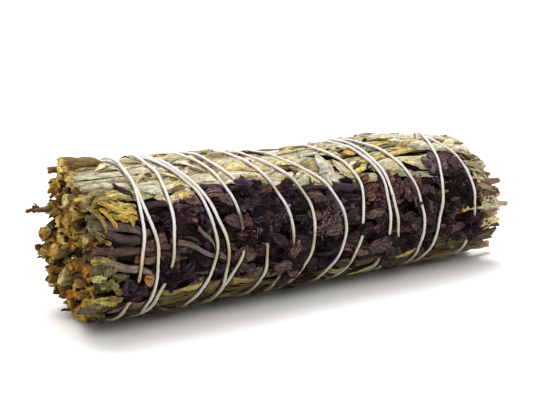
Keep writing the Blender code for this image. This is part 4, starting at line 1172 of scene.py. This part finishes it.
def calyxes(heap, rng, x, turn, depth, colors, **how):
    """Ribbed, crumpled calyxes, each a long cup with its mouth open."""
    look = {**CALYX_LOOK, **how}
    count, sides = len(x), 11
    rows = np.array([0, 0.1, 0.25, 0.42, 0.6, 0.78, 0.92, 1.0, 0.88, 0.6])[None, :, None]
    cup = np.array([0.3, 0.6, 0.85, 1.0, 1.02, 0.92, 0.88, 1.0, 0.7, 0.4])
    bud = np.array([0.5, 0.8, 1, 1, 1, 0.9, 0.7, 0.5, 0.35, 0.2])
    shape = (cup * (1 - look["blunt"]) + bud * look["blunt"])[None, :, None]
    rings = shape.size
    theta = (np.arange(sides) * 2 * math.pi / sides)[None, None]
    drawn = drawer(rng, count, look)
    length, width = drawn("length"), drawn("width")
    ribs = 1 + 0.15 * np.cos(5 * theta + rng.uniform(0, 6, (count, 1, 1)))
    ribs = ribs + 0.1 * rng.normal(size=(count, rings, sides)) + 0.09 * rng.normal(size=(count, 1, sides))
    radius = width / 2 * shape * ribs
    ahead = length * (rows + np.where(rows == 1.0, 0.12 * np.cos(2.5 * theta) ** 2, 0))
    flat = rng.uniform(0.5, 0.95, (count, 1, 1))
    across, lift = radius * np.cos(theta), radius * np.sin(theta) * flat
    across = across + rng.uniform(-0.5, 0.5, (count, 1, 1)) * rows**2 * width
    lift = lift + rng.uniform(-0.5, 0.3, (count, 1, 1)) * rows**2 * width
    roll = rng.normal(0, 0.5, (count, 1, 1))
    across, lift = across * np.cos(roll) - lift * np.sin(roll), across * np.sin(roll) + lift * np.cos(roll)
    lean, aside = np.radians(drawn("lean")), np.radians(drawn("aside"))
    way = np.where(rng.random((count, 1, 1)) < look["back"], -1, 1)
    forward = np.concatenate([way * np.cos(lean) * np.cos(aside), np.cos(lean) * np.sin(aside), np.sin(lean)], -1)
    side = np.concatenate([-way * np.sin(aside), np.cos(aside), 0 * aside], -1)
    over = np.cross(forward, side) * way
    local = ahead[..., None] * forward[:, :, None] + across[..., None] * side[:, :, None]
    local = local + lift[..., None] * over[:, :, None]
    place = x[:, None, None] + local[..., 0]
    angle = turn[:, None, None] + np.degrees(local[..., 1] / FLOWER_RADIUS)
    top = lid(place, angle, drawn("swell"), look["step"], look["near"])
    height = pressed(-depth[:, None, None] + local[..., 2], top, look["give"])
    points = in_room(place, angle, radius_at(place) + height)
    # painted shade: the inside of each cup's mouth is tinted far darker, and calyxes deep in the stick darker and
    # browner; the cups are also darker towards their base and striped lengthwise
    inner = (np.arange(rings) > 7)[None, :, None] & (look["blunt"] < 0.5)
    tone = np.where(inner, 0.35, 0.8 + 0.4 * np.cos(5 * theta)) * (0.65 + 0.6 * rows)
    tone = tone * (1 + 0.25 * rng.normal(size=(count, rings, sides)))
    tint = colors[:, None, None] * tone[..., None] * painted_shade_at(place, angle, height)
    seed = rng.uniform(0, 400, (count, 1, 1))
    grain = np.stack([ahead, width * theta * 0.5 + 0 * rows, seed + 0 * ahead], -1)
    heap.add_tubes(points, tint, grain, 2)


def hairs(heap, rng, x, turn, lift, colors, length, girth):
    """Fine stiff hairs that stand out of the flowers."""
    count = len(x)
    u = np.array([0, 0.35, 0.7, 1.0])[None, :, None]
    theta = (np.arange(3) * 2 * math.pi / 3)[None, None]
    forward = rng.normal(size=(count, 3)) * np.array([1, 1, 0.35]) + np.array([0.6, 0, 0.35])
    forward = (forward / np.linalg.norm(forward, axis=1, keepdims=True))[:, None, None]
    reach = rng.uniform(*length, (count, 1, 1)) * u
    thin = girth * (1 - 0.8 * u)
    bend = rng.normal(size=(count, 1, 1, 2)) * 0.25 * (u**2)[..., None]
    place = x[:, None, None] + reach * forward[..., 0] + reach * bend[..., 0] + thin * np.cos(theta)
    around = (reach * forward[..., 1] + reach * bend[..., 1]) / FLOWER_RADIUS
    angle = turn[:, None, None] + np.degrees(around + 0 * theta)
    height = lift[:, None, None] + reach * forward[..., 2] + thin * np.sin(theta)
    near = read_grid(near_string, place, angle)
    height = np.where(near < 0.5, np.minimum(height, -0.9), height)
    points = in_room(place, angle, radius_at(place) + height)
    tint = colors[:, None, None] * (0.7 + 0.6 * u)[..., None] * np.ones((1, 1, 3, 1))
    seed, none = rng.uniform(0, 400, (count, 1, 1)), 0 * reach + 0 * theta
    heap.add_tubes(points, tint, np.stack([reach + none, none, seed + none], -1), 2)


# stems that stand out on each spray: start and end (along, round, depth), half thickness, colour;
# those that start past 30 are seen past the right end
SEEN_STEMS = {
    5: (
        (-51.5, 52, 0.2, -45.5, 34, 0.0, 0.6, 0.045, 0.027, 0.03),
        (-47, 36.5, 0, -36, 29, 0.0, 0.5, 0.04, 0.024, 0.028),
        (-59.2, 28.5, 0.6, -44, 13, 0.5, 0.9, 0.13, 0.084, 0.078),
        (-35, 43.5, 0, -15, 38.5, -0.2, 0.45, 0.045, 0.026, 0.036),
        (-17, 39, -0.1, 4, 31, -0.2, 0.5, 0.045, 0.028, 0.038), (0, 33, 0, 9, 27, 0, 0.6, 0.05, 0.034, 0.036),
        (30, 38, 1.5, 50.6, 38, 3.2, 0.7, 0.26, 0.20, 0.11), (32, 34, 2.4, 48.8, 44, 3.4, 0.7, 0.18, 0.15, 0.07),
    ),
    4: (
        (-57.8, 21.5, 0.8, -43, 3, 0.5, 0.85, 0.072, 0.044, 0.04),
        (-42.8, 9, -0.6, -29.2, -13, -1.3, 0.52, 0.15, 0.105, 0.09),
        (-36.6, 14, -0.9, -29.6, -13.5, -1.3, 0.42, 0.19, 0.14, 0.125),
        (-56, 14, 2, -46, 12, 0.9, 0.765, 0.0496, 0.028, 0.0258), (-6, 24, 0, 6, 20, -0.1, 0.55, 0.07, 0.05, 0.045),
        (30, 20, 1.0, 51.2, 27, 1.8, 0.95, 0.22, 0.145, 0.085), (32, 26, 2.4, 50.8, 20, 3.0, 0.7, 0.30, 0.22, 0.11),
    ),
    3: (
        (-59, 7.5, 1.0, -46, 3, 0.7, 0.6, 0.105, 0.064, 0.048),
        (-54, 5, 1.6, -36, -6, 0.6, 0.68, 0.062, 0.0336, 0.0252),
        (-50, -3, 1.2, -38, -6, 0.6, 0.595, 0.186, 0.112, 0.0448),
        (36, 0, 0.6, 52.4, 0.5, 0.9, 0.85, 0.52, 0.44, 0.27), (32, 12, 2.4, 50.2, 4, 3.0, 0.7, 0.22, 0.18, 0.09),
    ),
    2: (
        (-58.6, 1, 0.7, -44, -18, 0.6, 0.8, 0.24, 0.175, 0.13),
        (-50, -16, 1.6, -34, -24, 0.9, 0.68, 0.0372, 0.0224, 0.0213),
        (-40, -19, 0.6, -20, -25, 0.3, 0.51, 0.0806, 0.0504, 0.0392),
        (32, 0, 2.4, 51.0, -6, 2.6, 0.7, 0.30, 0.26, 0.12),
    ),
    1: (
        (-56.5, -34, 1.8, -30, -36, 0.6, 0.765, 0.0558, 0.0308, 0.028),
        (-30, -33, 0.5, -8, -36, 0.4, 0.6, 0.11, 0.07, 0.05), (32, -8, 2.4, 51.4, -19, 2.0, 0.7, 0.24, 0.16, 0.07),
    ),
}
# bracts that stand out: along, round, heading, length, width, depth, colour
SEEN_BRACTS = {
    5: (
        (-38.4, 35, 0, 5.0, 3.4, -0.5, 0.15, 0.085, 0.080), (-33.2, 38, -8, 4.2, 2.8, -0.5, 0.12, 0.07, 0.068),
        (-30.5, 33, -14, 4.6, 3.0, -0.6, 0.10, 0.062, 0.066), (-25.6, 44, -8, 4.8, 2.6, -0.8, 0.05, 0.027, 0.045),
        (-22.6, 40, -60, 4.2, 2.8, -0.7, 0.028, 0.016, 0.024), (-21.0, 45, 0, 2.4, 1.2, -0.9, 0.34, 0.24, 0.22),
        (27.6, 46, 10, 4.0, 3.0, -0.7, 0.06, 0.036, 0.040), (30.6, 49, -4, 5.0, 3.2, -0.7, 0.085, 0.05, 0.048),
        (33.6, 43, -20, 4.6, 3.2, -0.7, 0.07, 0.042, 0.042), (30.0, 42, 14, 4.6, 2.8, -0.6, 0.10, 0.062, 0.052),
        (-7.5, 31, -20, 3.6, 2.8, -0.6, 0.10, 0.062, 0.052), (-3.0, 30, -50, 4.4, 3.0, -0.6, 0.045, 0.03, 0.03),
    ),
    4: (
        (-30.0, 18, -20, 5.0, 3.2, -0.5, 0.075, 0.046, 0.05), (-25.0, 27, -12, 4.4, 3.0, -0.7, 0.03, 0.017, 0.025),
        (-23.4, 14, 12, 4.4, 3.0, -0.7, 0.032, 0.018, 0.03), (-9.0, 16, -20, 4.0, 2.8, -0.5, 0.09, 0.05, 0.04),
        (21.0, 20, -10, 4.0, 3.2, -0.5, 0.05, 0.032, 0.034),
    ),
    3: (
        (-28.0, -8.5, -4, 5.2, 4.6, -0.75, 0.085, 0.055, 0.042), (-19.0, 3, -30, 5.0, 3.4, -0.6, 0.028, 0.017, 0.022),
        (-13.0, -3, -20, 5.0, 3.6, -0.5, 0.022, 0.014, 0.02), (-4.5, -2, 10, 4.6, 2.8, -0.5, 0.09, 0.062, 0.055),
        (6.0, 5, 6, 5.4, 2.6, -0.4, 0.085, 0.06, 0.05), (4.8, -6, 4, 3.4, 2.2, -1.0, 0.035, 0.02, 0.024),
        (-42.0, 1, 0, 5.0, 2.6, -0.4, 0.05, 0.033, 0.034),
    ),
    2: (
        (-17.4, -24, -12, 5.6, 3.8, -0.6, 0.085, 0.055, 0.05), (-13.2, -30, -20, 5.0, 3.6, -0.7, 0.11, 0.062, 0.045),
        (8.0, -19, -20, 6.6, 5.6, -0.7, 0.07, 0.045, 0.045), (13.6, -26, -30, 5.4, 4.4, -0.75, 0.05, 0.03, 0.036),
        (-48.4, -14, -50, 3.0, 2.6, -0.4, 0.34, 0.16, 0.06), (-52.6, -14, -70, 4.4, 3.6, -0.4, 0.045, 0.026, 0.035),
        (-27.0, -20, -10, 5.0, 2.8, -0.4, 0.06, 0.04, 0.04), (38.8, -20, -50, 4.6, 3.0, -0.7, 0.035, 0.02, 0.028),
    ),
    1: (
        (-13.6, -36, -60, 4.6, 3.2, -0.7, 0.05, 0.032, 0.03), (-24.0, -27, -5, 6.0, 2.6, -0.4, 0.11, 0.075, 0.06),
        (14.5, -38, -50, 5.0, 3.4, -0.7, 0.045, 0.028, 0.034), (0.0, -33, -8, 6.5, 3.0, -0.4, 0.07, 0.047, 0.04),
        (4.5, -28, 5, 4.0, 2.4, -0.5, 0.13, 0.09, 0.06),
    ),
}
petal_skin = dried("dried calyx", 0.7, 0.6, 1.5, 0.9, 0.02, 0.05, 0.0003)
spray_width = 2 * FLOWER_HALF_WIDTH / FLOWER_SPRAYS
for number in range(1, FLOWER_SPRAYS + 1):
    rng = np.random.default_rng([FLOWER_SEED, number])
    heap = Heap()
    offset = -FLOWER_HALF_WIDTH + spray_width * (number - 0.5)
    stalks(
        heap, rng, (-57 + rng.uniform(-1, 1), flower_middle(-51) + offset, 3.2),
        (45.5, flower_middle(46) + offset, 3.0), [1.15], mixed(rng, FLOWER_BARK, 1) * 0.7, mixed(rng, PITH, 1),
        rows=30, sides=11,
    )
    rows = np.array(SEEN_STEMS[number])
    cut_color = rows[:, 7:] * np.where(rows[:, 3:4] > 45, (2.0, 1.1, 0.5), (1.7, 1.4, 1.0))
    stalks(
        heap, rng, rows[:, :3], rows[:, 3:6], rows[:, 6], rows[:, 7:], cut_color, rows=30, sides=11, ridge=0.2,
        groove=0.16, flat=0.78, wander=0.25, swell=(1.0, 1.1), near=near_bare_string, step=0.8, taper=0.5,
    )
    count = 3
    first, last = rng.uniform(-58, -55, count), rng.uniform(-38, -20, count)
    around = offset + rng.uniform(-7, 7, count)
    stalks(
        heap, rng, beside_flowers(first, around + 6, rng.uniform(2.0, 3.0, count)),
        beside_flowers(last, around - 9, rng.uniform(1.4, 2.2, count)), rng.uniform(0.4, 0.75, count),
        mixed(rng, FLOWER_BARK, count) * 0.8, mixed(rng, PITH, count) * 0.5, rows=26, sides=9, sink=0.5,
        ridge=0.14, flat=0.75, near=near_bare_string,
    )
    # calyxes, then small buds in tight clusters
    for first, last, count in ((-36, 40, 124), (-47, -36, 22)):
        x, angle = in_band(rng, first, last, offset, count)
        calyxes(heap, rng, x, angle, rng.uniform(0.3, 3.0, len(x)), mixed(rng, FLOWER, len(x), 0.28))
    for sprays, count, along, around, depth, length, width, swell, lean, palette in BUD_CLUSTERS:
        if number in sprays:
            x, angle = rng.uniform(*along, count), rng.uniform(*around, count)
            colors = mixed(rng, palette, count, 0.2)
            calyxes(
                heap, rng, x, angle, rng.uniform(*depth, count), colors, length=length, width=width, blunt=1.0,
                swell=swell, lean=lean,
            )
    # bracts, and crumbs of them
    x, angle = in_band(rng, -44, 40, offset, 22)
    leaves(
        heap, rng, x, angle, mixed(rng, BRACT, len(x), 0.22), length=(3.0, 6.0), width=(2.4, 4.4),
        heading=(-45, 30), root=(-1.6, -0.5), tip=(-1.2, 0.5), twist=(-0.7, 0.7), curl=(1.0, 2.4),
        arch=(0.1, 0.9), outline="round", ragged=0.08, crumple=0.3, rows=9, columns=7, swell=(0.0, 0.9),
        step=0.7, rim=(0.09, 0.062, 0.058), past=-5, **ON_FLOWERS,
    )
    seen_leaves(
        heap, rng, SEEN_BRACTS[number], rows=12, columns=9, outline="round", crumple=0.22, curl=(0.5, 1.4),
        convex=0.8, bend=(-6, 6), arch=(0.2, 0.5), swell=(0.7, 1.0), step=0.6, rim=(0.10, 0.07, 0.062),
        rim_share=0.3, twist=(-0.2, 0.2), wave=(0.1, 0.3), **ON_FLOWERS,
    )
    x, angle = in_band(rng, -42, 41, offset, 40, 0)
    leaves(
        heap, rng, x, angle, mixed(rng, FLOWER, len(x), 0.3), length=(1.0, 3.0), width=(0.7, 1.8),
        heading=(-90, 90), root=(-0.8, 0.3), tip=(-0.4, 0.5), twist=(-1.4, 1.4), curl=(0.8, 2.4), ragged=0.2,
        crumple=0.22, rows=6, columns=4, swell=(0.2, 0.9), step=0.6, **ON_FLOWERS,
    )
    # straw-coloured leaf tips past the string at the right end
    count = 16
    x = rng.uniform(40, 44, count)
    angle = flower_middle(46) + offset + rng.uniform(-10, 10, count)
    leaves(
        heap, rng, x, angle, mixed(rng, STRAW if number == 5 else RIGHT_TIPS, count, 0.2), length=(5, 9),
        width=(1.8, 3.4), root=(-2.8, -0.8), tip=(-3.4, -0.6), past=2.4, rows=10, columns=6,
        heading=(-22, 22), curl=(1.0, 2.4), crumple=0.3, rim=(0.36, 0.22, 0.06), swell=(-0.9, 0.1),
        outline="strap",
    )
    leaf_litter(heap, rng, flower_middle(CUT_END) + offset, 0.8, spray_width / 2 + 1, 8)
    leaf_litter(heap, rng, flower_middle(TIP_END) + offset, 0.84, spray_width / 2 + 1, 8, right=True)
    # calyxes that hide the string
    for x, turn, reach, spread in UNDER_FLOWERS:
        if abs(turn - flower_middle(x) - offset) < spray_width / 2 + 4:
            count = 9
            calyxes(
                heap, rng, x - 1.2 + rng.uniform(-1, 1, count), turn + spread * rng.uniform(-0.75, 0.75, count),
                rng.uniform(-0.7, 0.1, count), mixed(rng, FLOWER, count, 0.2), length=(2.2, 3.4),
                width=(1.4, 2.3), swell=(0.3, 0.9), back=0.0,
            )
    # fuzz, thick in two tufts
    x, angle = in_band(rng, -38, 41, offset, 80)
    colors = mixed(rng, FUZZ, len(x), 0.3)
    hairs(heap, rng, x, angle, rng.uniform(-0.5, 0.4, len(x)), colors, (0.6, 1.8), 0.045)
    if number == TUFTED_SPRAY:
        for middle, around, spread_x, spread_turn, palette in TUFTS:
            count = 150
            x = middle + spread_x * rng.normal(size=count)
            angle = around + 1.8 * (x - middle) + spread_turn * rng.normal(size=count)
            lift = rng.uniform(-0.2, 0.7, count)
            hairs(heap, rng, x, angle, lift, mixed(rng, palette, count, 0.25), (0.7, 1.9), 0.065)
    heap.piece(f"flower_stem_{number}", [leaf_skin, stem_skin, petal_skin], "dried_flower", f"flower_spray_{number}")
